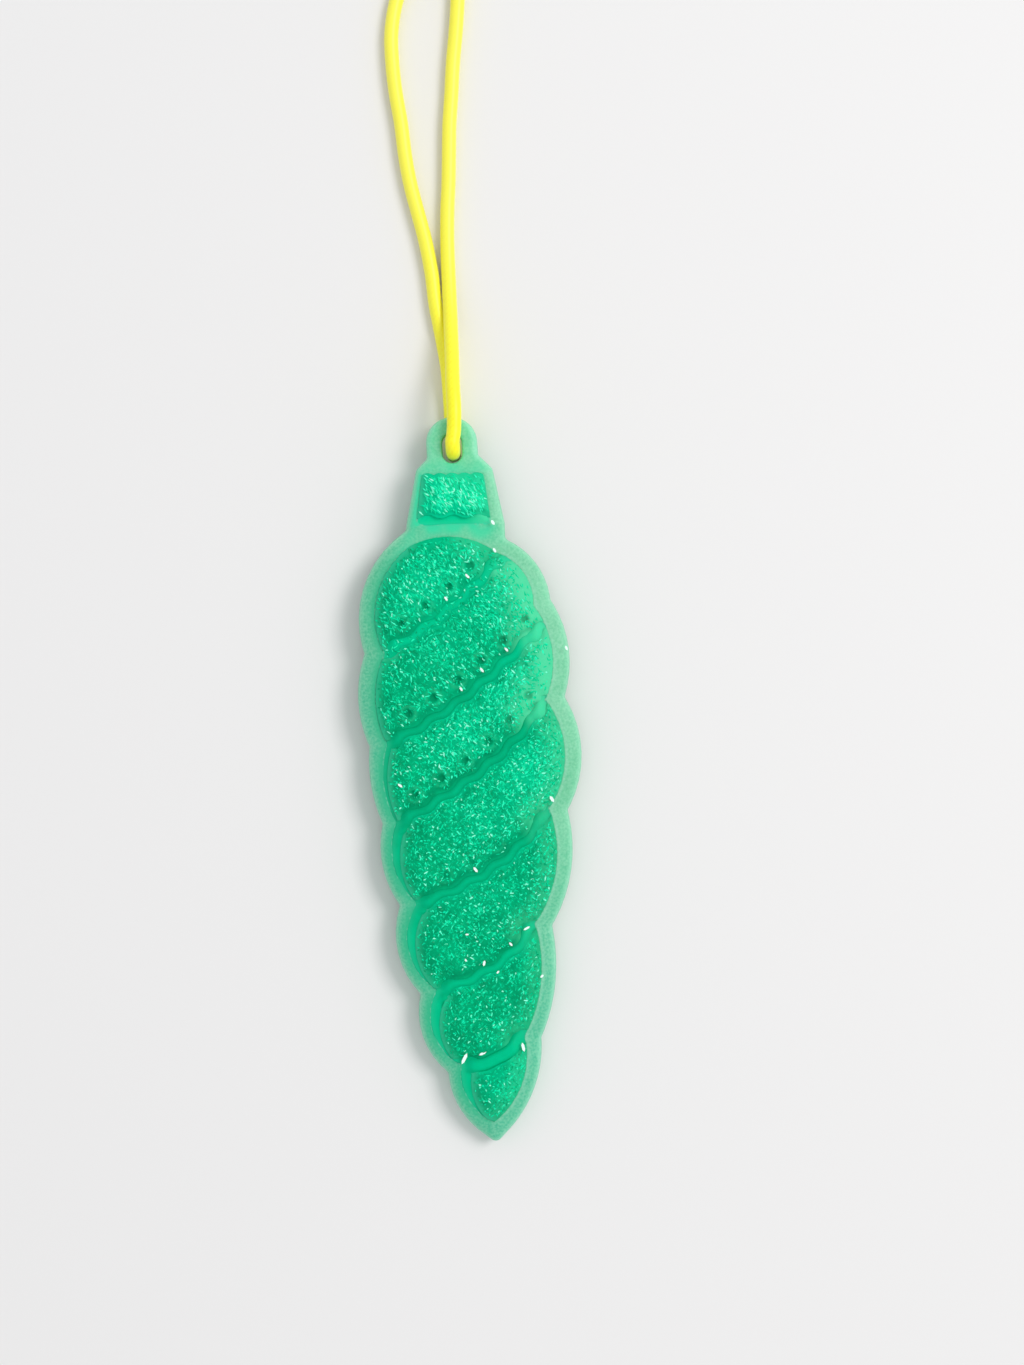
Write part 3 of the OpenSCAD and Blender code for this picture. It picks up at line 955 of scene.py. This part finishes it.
def cell_top(cell, points):
    to_lip = cell.to("lip", points)
    slope = 1 - smooth_step(-RIM_SOFT * RIM_SLOPE, RIM_SLOPE, cell.to("rim", points))
    steepest = 1 - smooth_step(-RIM_SOFT * RIM_SLOPE, RIM_SLOPE, 0)
    upper_bank = UPPER_BANK * (1 - smooth_step(0, BANK_WIDTH, cell.to("upper", points)))
    lower_bank = LOWER_BANK * (1 - smooth_step(0, BANK_WIDTH, to_lip))
    drop = np.max([RIM_DROP * slope / steepest, upper_bank, lower_bank], axis=0)
    hollow, ridge = dimple_shape(cell, points)
    z = CELL_TOP - drop - LIP_DROP * lip_shape(to_lip) - DIMPLE_DEPTH * hollow + RIDGE_RISE * ridge
    z += UNEVEN * unevenness(points, CELL_UNEVEN_SIZE, cell.seed)
    return np.maximum(z, BED_TOP + CELL_LEAST)


# %% Painted shade at the lip, and pale ends
LIP_SHADE_WIDTH = 0.3
SHADE_PATCHES = (0.8, 1.2)
SHADE_MOST = 1.3
SHADE_PATCH_SIZE = 2.2
SHADE_SEED = 0.3
PALE_REACH = 6.0
PALE_FROM = 0.8
PALE_LEAST = 0.4


def lip_line(cell, points, to_lip):
    mean, swing = SHADE_PATCHES
    patchy = np.clip(mean + swing * unevenness(points, SHADE_PATCH_SIZE, cell.seed + SHADE_SEED), 0, SHADE_MOST)
    return cell.line_share * patchy * bell(to_lip - LIP_WIDTH, LIP_SHADE_WIDTH)


def pale_end(cell, points):
    reach = PALE_REACH * (PALE_LEAST + (1 - PALE_LEAST) * cell.pale)
    return cell.pale * (1 - smooth_step(PALE_FROM, reach, cell.to("right", points)))


# %% Numbers for the turn's finish
UPPER_GLOW = 0.55
UPPER_REACH = 0.7
RIDGE_HIGHLIGHT = 0.15
RIM_VEIL_LIGHT = 0.7
BARE_RIM = 1.3
SPARSE_REACH = (0.7, 2.3)
SPARSE = 0.6
RIDGE_BARE = 0.6
PALE_BARE = 0.7
RIM_BARE = 0.8


def cell_values(cell, points):
    to_lip = cell.to("lip", points)
    lip = lip_shape(to_lip)
    hollow, ridge = dimple_shape(cell, points)
    pale = pale_end(cell, points)
    bare = bell(cell.to("bare", points), BARE_RIM)
    sparse = SPARSE * (1 - smooth_step(*SPARSE_REACH, to_lip))
    few_flakes = [lip, hollow, RIDGE_BARE * ridge, PALE_BARE * pale**2, RIM_BARE * bare, sparse]
    return {
        # Painted shade along the lip's step and in the dimples.
        "line": np.maximum(lip_line(cell, points, to_lip), hollow),
        "smooth": np.max(few_flakes, axis=0),
        # Painted highlight on the ridge round each dimple, added to the pale ends.
        "pale": np.maximum(pale, RIDGE_HIGHLIGHT * ridge),
        "glow": np.maximum(glow_at(points), UPPER_GLOW * bell(cell.to("upper", points), UPPER_REACH)),
        # Painted light on the left rim, lifting the shade there.
        "rim_light_veil": bell(cell.to("left", points), RIM_VEIL_LIGHT),
    }


# %% Points round the dimples
DIMPLE_RINGS = (0, 0.28, 0.45, 0.6, 0.72, 0.85, 0.98, 1.1, 1.25)
DIMPLE_CLEAR = 1.3
RING_POINTS = 18
RING_INSET = 0.2


def dimple_rings(cell):
    rings = [
        centre + r * np.array([math.cos(a), math.sin(a)])
        for centre in cell.dimples
        for r in DIMPLE_RINGS
        for a in np.linspace(0, 2 * math.pi, RING_POINTS if r else 1, endpoint=False)
    ]
    if not rings:
        return None
    rings = np.array(rings)
    return rings[inside(rings, cell.outline) & (to_loop(rings, cell.outline) > RING_INSET)]


def clear_of_dimples(cell):
    def clear(points):
        gaps = [np.hypot(*(points - centre).T) for centre in cell.dimples]
        return np.all([gap > DIMPLE_CLEAR for gap in gaps], axis=0) if gaps else np.ones(len(points), bool)
    return clear


# %% Cast the turns
LOWER_RIGHT = np.array([0.5, -0.87])
DOWN = np.array([0, -1])
TURN_RIM = 1.5
CAP_RIM = 0.5
TURN_SEED = 10.5
CAP_SEED = 20.5
TURN_SHARES = [
    (0.3, 0.35, 1), (1, 0.6, 1), (1, 0.7, 0.9), (0.5, 0.65, 0.5),
    (0.3, 0.55, 0), (0.2, 0.4, 0), (0.2, 0, 0),
]
CAP_SHARES = (0.2, 0.4)
CELL_RINGS = [0.08, 0.25, 0.42, LIP_WIDTH, 0.8, 1.05, BANK_WIDTH]
CELL_GRID = 0.45


def cast_cell(node, cell):
    filled = fill([cell.outline], CELL_RINGS, CELL_GRID, dimple_rings(cell), clear_of_dimples(cell))
    top, values = cell_top(cell, filled[0]), cell_values(cell, filled[0])
    piece = cast_piece(f"{node}_cast", filled, top, BED_TOP - 2 * UNEVEN, values)
    ride_in_place_of(piece, "pendant", "glitter_resin", node)
    return piece


cells = {}
for i, (node, shares) in enumerate(zip(TURNS, TURN_SHARES)):
    cells[node] = Cell(node, field_outline, TURN_RIM, LOWER_RIGHT, TURN_SEED + i, *shares)
cells["cap_cell"] = Cell("cap_cell", cap_outline, CAP_RIM, DOWN, CAP_SEED, *CAP_SHARES)
cell_pieces = [cast_cell(node, cell) for node, cell in cells.items()]

# %% [markdown]
# ## Glitter flakes
#
# The glitter is made of tiny slivers of foil. The finest ones belong to the resin's finish, and those
# near the surface are real plates, because only a plate with its own tilt flashes when the light or the
# view moves. Each is a thin six-sided plate, set at the height of the surface with a random turn and
# tilt. In the cap and the upper turns they are long and lie mostly one way; further down they lie any
# way, duller and fewer. So each turn has a style: the spread of directions, how long, how many and how
# dull. In the glowing patches they are brighter and fewer are lost. A seeded random number generator
# gives the same flakes on every run.

# %% Make plates of foil
FLAKE_THICK = 0.03
FLAKE_OUTLINE = [(-1, 0), (-0.5, -1), (0.5, -1), (1, 0), (0.5, 1), (-0.5, 1)]
FLAKE_CORNERS = [(x, y, z) for z in (-1, 1) for x, y in FLAKE_OUTLINE]
FLAKE_SIDES = [(k, (k + 1) % 6, (k + 1) % 6 + 6, k + 6) for k in range(6)]
FLAKE_FACES = [(5, 4, 3, 2, 1, 0), (6, 7, 8, 9, 10, 11), *FLAKE_SIDES]


def flake_plates(name, places):
    points = []
    faces = []
    shine = []
    for spot, length, width, turn, tilt, bright in places:
        first = len(points)
        tilted = Matrix.Rotation(tilt[0], 3, "X") @ Matrix.Rotation(tilt[1], 3, "Y")
        spin = Matrix.Rotation(turn, 3, "Z") @ tilted
        half = Vector((length / 2, width / 2, FLAKE_THICK / 2))
        for corner in FLAKE_CORNERS:
            local = spin @ Vector(c * h for c, h in zip(corner, half))
            points.append(flat_to_row @ (Vector(spot) + local))
            shine.append(bright)
        faces += [tuple(first + k for k in face) for face in FLAKE_FACES]
    flakes = new_object(name, points, faces, {"shine": shine}, flat_from=0)
    ride_in_place_of(flakes, "pendant", "glitter_resin")
    return flakes


# %% Draw random flakes
FLAKE_LENGTH = (0.34, 0.8)
FLAKE_WIDTH = (0.13, 0.22)
FLAKE_TILT = math.radians(22)
FLAKE_WAY = math.radians(-52)
FLAKE_SHINE = 0.97


def random_spots(draw, low, high, per_mm2):
    count = int(np.prod(high - low) * per_mm2)
    return np.array([[draw.uniform(*side) for side in zip(low, high)] for _ in range(count)])


def random_flake(draw, spot, spread, stretch, dull, least):
    turn = draw.gauss(FLAKE_WAY, math.radians(spread))
    tilt = (draw.uniform(-FLAKE_TILT, FLAKE_TILT), draw.uniform(-FLAKE_TILT, FLAKE_TILT))
    size = stretch * draw.uniform(*FLAKE_LENGTH), draw.uniform(*FLAKE_WIDTH)
    shine = FLAKE_SHINE * max(draw.random() ** dull, least)
    return spot, *size, turn, tilt, shine


# %% Scatter the flakes
FLAKES_PER_MM2 = 13.0
FLAKE_INSET = 0.4
FLAKE_SEED = 100
LOST_SMOOTH = 0.95
LOST_ELSEWHERE = 0.35
LOST_LESS = 0.6
GLOW_SHINE = 1.1
LEAST_DULL = 0.35
PALE_SHINE = 0.45
FLAKE_STYLES = [
    (28, 1.35, 1, 1.5), (32, 1.2, 1, 1.5), (48, 1.1, 1, 1.4), (80, 1, 1, 1.5),
    (90, 1, 0.95, 1.7), (90, 1, 0.9, 1.8), (90, 0.9, 0.7, 2), (20, 1.9, 1.15, 1.15),
]


def scatter(name, cell, spread, stretch, share, dull, seed):
    draw = random.Random(seed)
    low = cell.outline.min(axis=0)
    high = cell.outline.max(axis=0)
    spots = random_spots(draw, low, high, FLAKES_PER_MM2 * share)
    spots = spots[inside(spots, cell.outline)]
    spots = spots[to_loop(spots, cell.outline) > FLAKE_INSET]
    z, values = cell_top(cell, spots), cell_values(cell, spots)
    places = []
    kept = zip(spots, z, values["smooth"], values["glow"], values["pale"])
    for (x, y), height, smooth, glow, pale in kept:
        if draw.random() < max(LOST_SMOOTH * smooth, LOST_ELSEWHERE - LOST_LESS * glow):
            continue
        dullness = max(dull - GLOW_SHINE * glow, LEAST_DULL)
        places.append(random_flake(draw, (x, y, height), spread, stretch, dullness, PALE_SHINE * pale))
    return flake_plates(name, places)


flake_pieces = []
for i, (node, cell) in enumerate(cells.items()):
    flake_pieces.append(scatter(f"{node}_flakes", cell, *FLAKE_STYLES[i], FLAKE_SEED + i))

# %% [markdown]
# ## Strays on the first ribbon
#
# Flakes of the first two turns have strayed onto the thin ribbon between them, so that it hardly stands
# out. They lie on its swell, whose height is the same sum as in the bed.

# %% Scatter the strays
STRAY_LOW = np.array([-13.0, 64.0])
STRAY_HIGH = np.array([9.0, 84.0])
STRAYS_PER_MM2 = 6.0
STRAY_CLEAR = 0.15
STRAY_STYLE = (40, 1.1, 1.3, 0)
STRAY_SEED = 120
RIM_CLEAR = 0.5

draw = random.Random(STRAY_SEED)
spots = random_spots(draw, STRAY_LOW, STRAY_HIGH, STRAYS_PER_MM2)
beside = [cell_outlines[node] for node in TURNS[:2]]
spots = spots[within(spots, [field_outline, *beside])]
gaps = np.sort([to_loop(spots, turn) for turn in beside], axis=0)
to_rim = to_loop(spots, field_outline)
clear = (gaps[0] > STRAY_CLEAR) & (gaps[1] < RIBBON_REACH[0]) & (to_rim > RIM_CLEAR)
stray_z = BED_TOP + ribbon_swell(gaps[0]) * smooth_step(*RIM_FADE, to_rim)
strays = [
    random_flake(draw, (x, y, z), *STRAY_STYLE)
    for (x, y), z in zip(spots[clear], stray_z[clear])
]
flake_pieces.append(flake_plates("first_ribbon_flakes", strays))

# %% [markdown]
# ## Large glints
#
# A few larger white slivers lie where the eye goes first, most of them along the ribbons: they are
# painted highlights, plates that stand in for glints of light. Each has its place in the frame, its
# length and width and its direction, and rests on the highest point below its two ends and its middle.

# %% Place the glints
GLINTS = [
    (-3.3, -37.9, 1.7, 0.42, 60), (-0.75, -37.3, 1.1, 0.32, 20), (4.85, -36.8, 1.3, 0.4, -80),
    (6.3, -20.5, 1, 0.28, 25), (10.8, -3, 1, 0.4, -60), (0.2, -24.9, 0.8, 0.32, 75),
    (4, -22.5, 0.65, 0.28, -50), (-0.2, -12, 0.9, 0.35, -55), (1.1, 28.1, 0.8, 0.32, -50),
    (-2, 25.2, 0.7, 0.28, -55), (2.3, 15.2, 0.8, 0.3, -55), (-0.7, 12.8, 0.75, 0.28, -60),
    (5.8, 17.8, 0.75, 0.3, -55), (5, 31.4, 0.75, 0.32, -60), (8, -27.2, 0.6, 0.28, 40),
    (-9.8, 0.1, 0.8, 0.3, -40), (14, 17.5, 0.7, 0.3, -70), (5, 35.2, 0.8, 0.36, -60),
    (-2.3, -24.3, 0.55, 0.24, -60), (2, -26.3, 0.5, 0.24, 45), (-1.9, -20.8, 0.5, 0.22, 0),
]
GLINT_TILT = (0.05, 0.05)


def height_at(x, y):
    spot = np.array([[x, y]])
    for cell in cells.values():
        if inside(spot, cell.outline)[0]:
            return float(cell_top(cell, spot)[0])
    return BED_TOP + RIBBON_BASE + RIBBON_RISE


glint_places = []
for x, y, length, width, degrees in GLINTS:
    flat = row_to_flat @ Vector((x * MM, y * MM, 0))
    turn = math.radians(degrees)
    reach = Vector((math.cos(turn), math.sin(turn))) * length / 2
    support = max(height_at(flat.x + side * reach.x, flat.y + side * reach.y) for side in (-1, 0, 1))
    spot = (flat.x, flat.y, support + FLAKE_THICK)
    # Shine 1 takes the white end of the foil ramp: a painted highlight.
    glint_places.append((spot, length, width, turn, GLINT_TILT, 1))
flake_pieces.append(flake_plates("painted_highlight_glints", glint_places))

# %% [markdown]
# ## Finishes
#
# A finish is a small tree of shader nodes. These helpers add one node, set it up and fill or link its
# sockets in one line, which keeps the trees below readable. Colours are chosen as they look on a
# screen, and Blender wants linear light, so each is converted. Most colours come as a wash: a number
# stored on the mesh says where, and a share says how much.

# %% Helpers for finishes
def screen_colour(red, green, blue):
    def linear(value):
        share = value / 255
        return share / 12.92 if share <= 0.04045 else ((share + 0.055) / 1.055) ** 2.4
    return (linear(red), linear(green), linear(blue), 1)


def fill_sockets(tree, node, values):
    for key, value in values.items():
        if isinstance(value, bpy.types.NodeSocket):
            tree.links.new(value, node.inputs[key])
        else:
            node.inputs[key].default_value = value


def add(tree, kind, sockets=None, **settings):
    made = tree.nodes.new(kind)
    for key, value in settings.items():
        setattr(made, key, value)
    fill_sockets(tree, made, sockets or {})
    return made


def maths(tree, operation, a, b):
    return add(tree, "ShaderNodeMath", {0: a, 1: b}, operation=operation).outputs[0]


def ramped(tree, value, low, high, start=0.0, end=1.0):
    return add(tree, "ShaderNodeMapRange", {0: value, 1: low, 2: high, 3: start, 4: end}).outputs[0]


def stored(tree, name):
    return add(tree, "ShaderNodeAttribute", attribute_name=name).outputs["Fac"]


def mixed(tree, share, a, b):
    return add(tree, "ShaderNodeMix", {0: share, 6: a, 7: b}, data_type="RGBA").outputs[2]


def wash(tree, colour, where, share, shade):
    return mixed(tree, maths(tree, "MULTIPLY", where, share), colour, screen_colour(*shade))


def new_finish(name):
    material = bpy.data.materials.new(name)
    material.use_nodes = True
    tree = material.node_tree
    return material, tree, tree.nodes["Principled BSDF"]


def wear(material, *pieces):
    for piece in pieces:
        piece.data.materials.clear()
        piece.data.materials.append(material)
    print(material.name, "on", len(pieces), "pieces")


# %% [markdown]
# ## Haze in cast resin
#
# Poured resin is never one flat colour: pigment drifts in soft clouds and the surface keeps a faint
# orange peel. Three finishes share this, so it is a node group with its own inputs, built once.

# %% Node group for haze
COLOUR = "NodeSocketColor"
VALUE = "NodeSocketFloat"
WHITE = (1, 1, 1, 1)
PER_METRE = 1 / MM
PEEL_DEPTH = 0.2 * MM
PEEL_SCALE = 1.8 * PER_METRE
GRAIN_SCALE = 3 * PER_METRE
GRAIN_RANGE = (0.3, 0.7)
CLOUD_RANGE = (0.32, 0.68)
CLOUD_ROUGHNESS = 0.6


def group(name, inputs, outputs):
    tree = bpy.data.node_groups.new(name, "ShaderNodeTree")
    for label, kind, value in inputs:
        tree.interface.new_socket(label, in_out="INPUT", socket_type=kind).default_value = value
    for label, kind in outputs:
        tree.interface.new_socket(label, in_out="OUTPUT", socket_type=kind)
    return tree, add(tree, "NodeGroupInput").outputs, add(tree, "NodeGroupOutput")


haze_tree, given, result = group(
    "resin_haze",
    [("Colour", COLOUR, WHITE), ("Cloud Colour", COLOUR, WHITE), ("Cloud Size", VALUE, 4.0)],
    [("Colour", COLOUR), ("Grain", VALUE), ("Height", VALUE)],
)
place = add(haze_tree, "ShaderNodeTexCoord").outputs["Object"]


def noise_texture(scale, detail, roughness=0.5):
    sockets = {"Vector": place, "Scale": scale, "Detail": detail, "Roughness": roughness}
    return add(haze_tree, "ShaderNodeTexNoise", sockets).outputs[0]


cloud_scale = maths(haze_tree, "DIVIDE", PER_METRE, given["Cloud Size"])
cloud = noise_texture(cloud_scale, 4.0, CLOUD_ROUGHNESS)
spread = ramped(haze_tree, cloud, *CLOUD_RANGE)
fill_sockets(haze_tree, result, {
    "Colour": mixed(haze_tree, spread, given["Colour"], given["Cloud Colour"]),
    "Grain": ramped(haze_tree, noise_texture(GRAIN_SCALE, 1.0), *GRAIN_RANGE),
    "Height": noise_texture(PEEL_SCALE, 2.0),
})
print("Group:", haze_tree.name)


def hazy(tree, colour, cloud_colour, cloud_size, peel):
    haze = add(tree, "ShaderNodeGroup", {
        "Colour": screen_colour(*colour),
        "Cloud Colour": screen_colour(*cloud_colour),
        "Cloud Size": cloud_size,
    }, node_tree=haze_tree).outputs
    sockets = {"Height": haze["Height"], "Strength": peel, "Distance": PEEL_DEPTH}
    return haze["Colour"], haze["Grain"], add(tree, "ShaderNodeBump", sockets).outputs[0]


# %% [markdown]
# ## Fine glitter
#
# Between the plates lies finer glitter, too small to model. A Voronoi texture splits space into random
# cells: a cell whose own random number is low enough is a fleck, bright near its middle. Stretching and
# turning the space makes slivers. The group is placed twice in the resin, once for fine and once for
# coarse flecks.

# %% Node group for flecks
FLECK_INPUTS = {"Flecks per mm": 2.5, "Coverage": 0.4, "Turn": -0.9, "Stretch": 0.5}
FLECK_EDGE = (0.15, 0.5)

fleck_tree, given, result = group(
    "glitter_flecks",
    [(label, VALUE, value) for label, value in FLECK_INPUTS.items()],
    [("Mask", VALUE), ("Bright", VALUE)],
)
place = add(fleck_tree, "ShaderNodeTexCoord").outputs["Object"]
per_m = maths(fleck_tree, "MULTIPLY", given["Flecks per mm"], PER_METRE)
turning = {"Vector": place, "Angle": given["Turn"]}
turned = add(fleck_tree, "ShaderNodeVectorRotate", turning, rotation_type="Z_AXIS").outputs[0]
thin = add(fleck_tree, "ShaderNodeCombineXYZ", {0: given["Stretch"], 1: 1.0, 2: 1.0}).outputs[0]
slim = add(fleck_tree, "ShaderNodeVectorMath", {0: turned, 1: thin}, operation="MULTIPLY").outputs[0]
voronoi = {"Vector": slim, "Scale": per_m, "Randomness": 1.0}
fleck = add(fleck_tree, "ShaderNodeTexVoronoi", voronoi).outputs
chance = add(fleck_tree, "ShaderNodeSeparateColor", {0: fleck["Color"]}).outputs
present = maths(fleck_tree, "LESS_THAN", chance[0], given["Coverage"])
core = ramped(fleck_tree, fleck["Distance"], *FLECK_EDGE, start=1.0, end=0.0)
fill_sockets(fleck_tree, result, {
    "Mask": maths(fleck_tree, "MULTIPLY", core, present),
    "Bright": chance[1],
})
print("Group:", fleck_tree.name)

# %% [markdown]
# ## Frosted border resin
#
# The border is milky and matte: light enters it and comes out a little further on. Subsurface
# scattering does that in Blender. The stored numbers bring in a painted shade on the left with a
# darker tone towards the tip, painted light on the tab, the emerald of the field next to it with a
# painted green shadow on its left, brighter round the cap, and painted highlights along the rim and
# beside the right of the field. Fine grain makes the frost.

# %% Border finish
frosted, tree, shader = new_finish("frosted_border_resin")
colour, grain, peel = hazy(tree, (91, 187, 139), (103, 197, 149), cloud_size=5.0, peel=0.15)
# Painted shade on the left, and a darker tone towards the tip.
colour = wash(tree, colour, stored(tree, "left_shade_darker_tip"), 0.65, (28, 178, 140))
# Painted light: the tab is lifted brighter against the shade the cord casts on it.
colour = wash(tree, colour, stored(tree, "tab"), 0.8, (100, 209, 158))
colour = wash(tree, colour, grain, 0.26, (184, 238, 208))
# The tint carries the painted green shadow of the fields on their left.
tint_and_shadow_colour = mixed(tree, stored(tree, "upper"), screen_colour(22, 182, 132), screen_colour(36, 214, 160))
colour = mixed(tree, stored(tree, "tint_and_shadow"), colour, tint_and_shadow_colour)
# Painted highlights: a light line along the outer rim, and one beside the right of the field.
colour = wash(tree, colour, stored(tree, "edge"), 0.4, (176, 234, 204))
fill_sockets(tree, shader, {
    "Base Color": colour,
    "Normal": peel,
    "Roughness": 0.48,
    "Subsurface Weight": 0.35,
    "Subsurface Radius": (0.6, 1.0, 0.8),
    "Subsurface Scale": 1.2 * MM,
})
wear(frosted, border)

# %% [markdown]
# ## Smooth emerald resin
#
# The beds are the same resin with much more pigment, and smooth enough to shine a little. The stored
# numbers make them brighter where they are thin and paler towards the right; painted shade darkens
# them beside the turns, and painted light makes them a little paler at the left and lower rim.

# %% Bed finish
emerald, tree, shader = new_finish("smooth_emerald_resin")
colour, _, peel = hazy(tree, (0, 172, 120), (0, 186, 132), cloud_size=3.0, peel=0.1)
colour = wash(tree, colour, stored(tree, "thin"), 0.85, (0, 216, 158))
# Painted shade beside the turns.
colour = wash(tree, colour, stored(tree, "side"), 0.4, (0, 144, 92))
colour = wash(tree, colour, stored(tree, "pale"), 0.8, (76, 218, 162))
veil_light_colour = mixed(tree, stored(tree, "thin"), screen_colour(62, 184, 142), screen_colour(64, 214, 162))
# Painted light at the left and lower rim.
colour = mixed(tree, maths(tree, "MULTIPLY", stored(tree, "rim_light_veil"), 0.3), colour, veil_light_colour)
fill_sockets(tree, shader, {
    "Base Color": colour,
    "Normal": peel,
    "Roughness": 0.35,
    "Specular IOR Level": 0.02,
    "Subsurface Weight": 0.3,
    "Subsurface Radius": (0.1, 1.0, 0.7),
    "Subsurface Scale": 0.8 * MM,
})
wear(emerald, spiral_bed, cap_bed)

# %% [markdown]
# ## Glitter resin
#
# The turns start from a deep emerald with soft clouds, brighter in the glowing patches. Two sizes of
# flecks come on top and are lost on the smooth lip and in the dimples. Painted shade darkens the lip's
# step and the dimples, a painted highlight rings each dimple, the right ends of the upper turns are
# paler, and painted light gives the left rim some of the border's colour.

# %% Glitter finish
FINE_FLECKS = {"Flecks per mm": 4.5, "Coverage": 0.7, "Turn": 0.9, "Stretch": 0.35}
COARSE_FLECKS = {"Flecks per mm": 3.4, "Coverage": 0.35, "Turn": -0.8, "Stretch": 0.35}

glitter, tree, shader = new_finish("glitter_resin")
colour, _, peel = hazy(tree, (0, 147, 98), (0, 175, 118), cloud_size=2.2, peel=0.2)
colour = wash(tree, colour, stored(tree, "glow"), 0.7, (4, 220, 164))
rough = maths(tree, "SUBTRACT", 1.0, stored(tree, "smooth"))
for sizes, shade in ((FINE_FLECKS, (4, 232, 166)), (COARSE_FLECKS, (30, 246, 186))):
    flecks = add(tree, "ShaderNodeGroup", sizes, node_tree=fleck_tree).outputs
    shown = maths(tree, "MULTIPLY", flecks["Mask"], flecks["Bright"])
    colour = wash(tree, colour, shown, rough, shade)
colour = wash(tree, colour, stored(tree, "pale"), 0.7, (96, 226, 170))
# Painted shade along the lip's step and in the dimples.
colour = wash(tree, colour, stored(tree, "line"), 0.6, (0, 132, 90))
# Painted light on the left rim of the turns.
colour = wash(tree, colour, stored(tree, "rim_light_veil"), 0.7, (60, 192, 148))
fill_sockets(tree, shader, {
    "Base Color": colour,
    "Normal": peel,
    "Roughness": 0.4,
    "Specular IOR Level": 0.02,
    "Subsurface Weight": 0.15,
    "Subsurface Radius": (0.1, 1.0, 0.7),
    "Subsurface Scale": 0.6 * MM,
})
wear(glitter, *cell_pieces)

# %% [markdown]
# ## Foil of the flakes
#
# A flake is tinted foil. Most lie deep and look green, some are mint, and only the large glints look
# white, a painted highlight. A number stored on each flake picks its colour from a ramp: random for the
# small ones, and the white end of the ramp for the glints.

# %% Flake finish
# The white last colour is a painted highlight, worn by the large glints.
FOIL_COLOURS = [
    (0, (0, 154, 102)), (0.34, (0, 202, 142)), (0.72, (4, 236, 174)), (0.88, (60, 250, 198)),
    (0.97, (152, 255, 224)), (1, (238, 255, 248)),
]

foil, tree, shader = new_finish("flake_foil")
ramp = add(tree, "ShaderNodeValToRGB", {0: stored(tree, "shine")})
stops = ramp.color_ramp.elements
for position, _ in FOIL_COLOURS[1:-1]:
    stops.new(position)
for stop, (position, shade) in zip(stops, FOIL_COLOURS):
    stop.position = position
    stop.color = screen_colour(*shade)
fill_sockets(tree, shader, {
    "Base Color": ramp.outputs["Color"],
    "Roughness": 0.3,
    "Specular IOR Level": 0.05,
})
wear(foil, *flake_pieces)

# %% [markdown]
# ## Elastic braid
#
# The sleeve is bright polyester yarn, with a soft, broad shine along the top. Its colour carries painted
# light and shade: paler where a yarn stands out and deeper yellow between the yarns. Away from the slot
# it is a little bleached.

# %% Cord finish
braid, tree, shader = new_finish("elastic_braid")
# Painted light on the yarn crowns and painted shade between the yarns.
colour = mixed(tree, stored(tree, "yarn_crown_light"), screen_colour(252, 236, 0), screen_colour(255, 252, 30))
colour = wash(tree, colour, stored(tree, "bleach"), 0.8, (254, 246, 84))
fill_sockets(tree, shader, {
    "Base Color": colour,
    "Roughness": 0.42,
    "Sheen Weight": 0.3,
    "Sheen Roughness": 0.4,
})
wear(braid, front_strand, back_strand, bight, knot, left_tail, right_tail)

# %% [markdown]
# ## Table and light
#
# The ornament lies on a plain pale table. One large lamp on the right gives the soft shadow on the
# left, and an even pale world fills the rest, at a level where a colour looks as it was written.

# %% Floor, lamp and world
FLOOR_HALF = 1.0
FLOOR_CORNERS = [(-1, -1), (1, -1), (1, 1), (-1, 1)]
LAMP_PLACE = Vector((0.7, 0.3, 0.95))
LAMP_POWER = 7
LAMP_SIZE = 0.5
WORLD_COLOUR = (0.95, 0.97, 1.0, 1)
WORLD_STRENGTH = 0.75

floor_points = [(FLOOR_HALF * x, FLOOR_HALF * y, 0) for x, y in FLOOR_CORNERS]
floor = new_object("table", floor_points, [(0, 1, 2, 3)])
table_finish, tree, shader = new_finish("pale_table")
fill_sockets(tree, shader, {"Base Color": screen_colour(232, 230, 228), "Roughness": 0.7})
wear(table_finish, floor)

lamp_data = bpy.data.lights.new("key_lamp_right", "AREA")
lamp_data.energy = LAMP_POWER
lamp_data.size = LAMP_SIZE
lamp = bpy.data.objects.new("key_lamp_right", lamp_data)
lamp.location = LAMP_PLACE
lamp.rotation_euler = (-LAMP_PLACE).to_track_quat("-Z", "Y").to_euler()
scene.collection.objects.link(lamp)

world = bpy.data.worlds.new("pale_room")
world.use_nodes = True
background = world.node_tree.nodes["Background"]
fill_sockets(world.node_tree, background, {"Color": WORLD_COLOUR, "Strength": WORLD_STRENGTH})
scene.world = world
scene.view_settings.view_transform = "Standard"
print("Lamp of", LAMP_POWER, "W and world of strength", WORLD_STRENGTH)
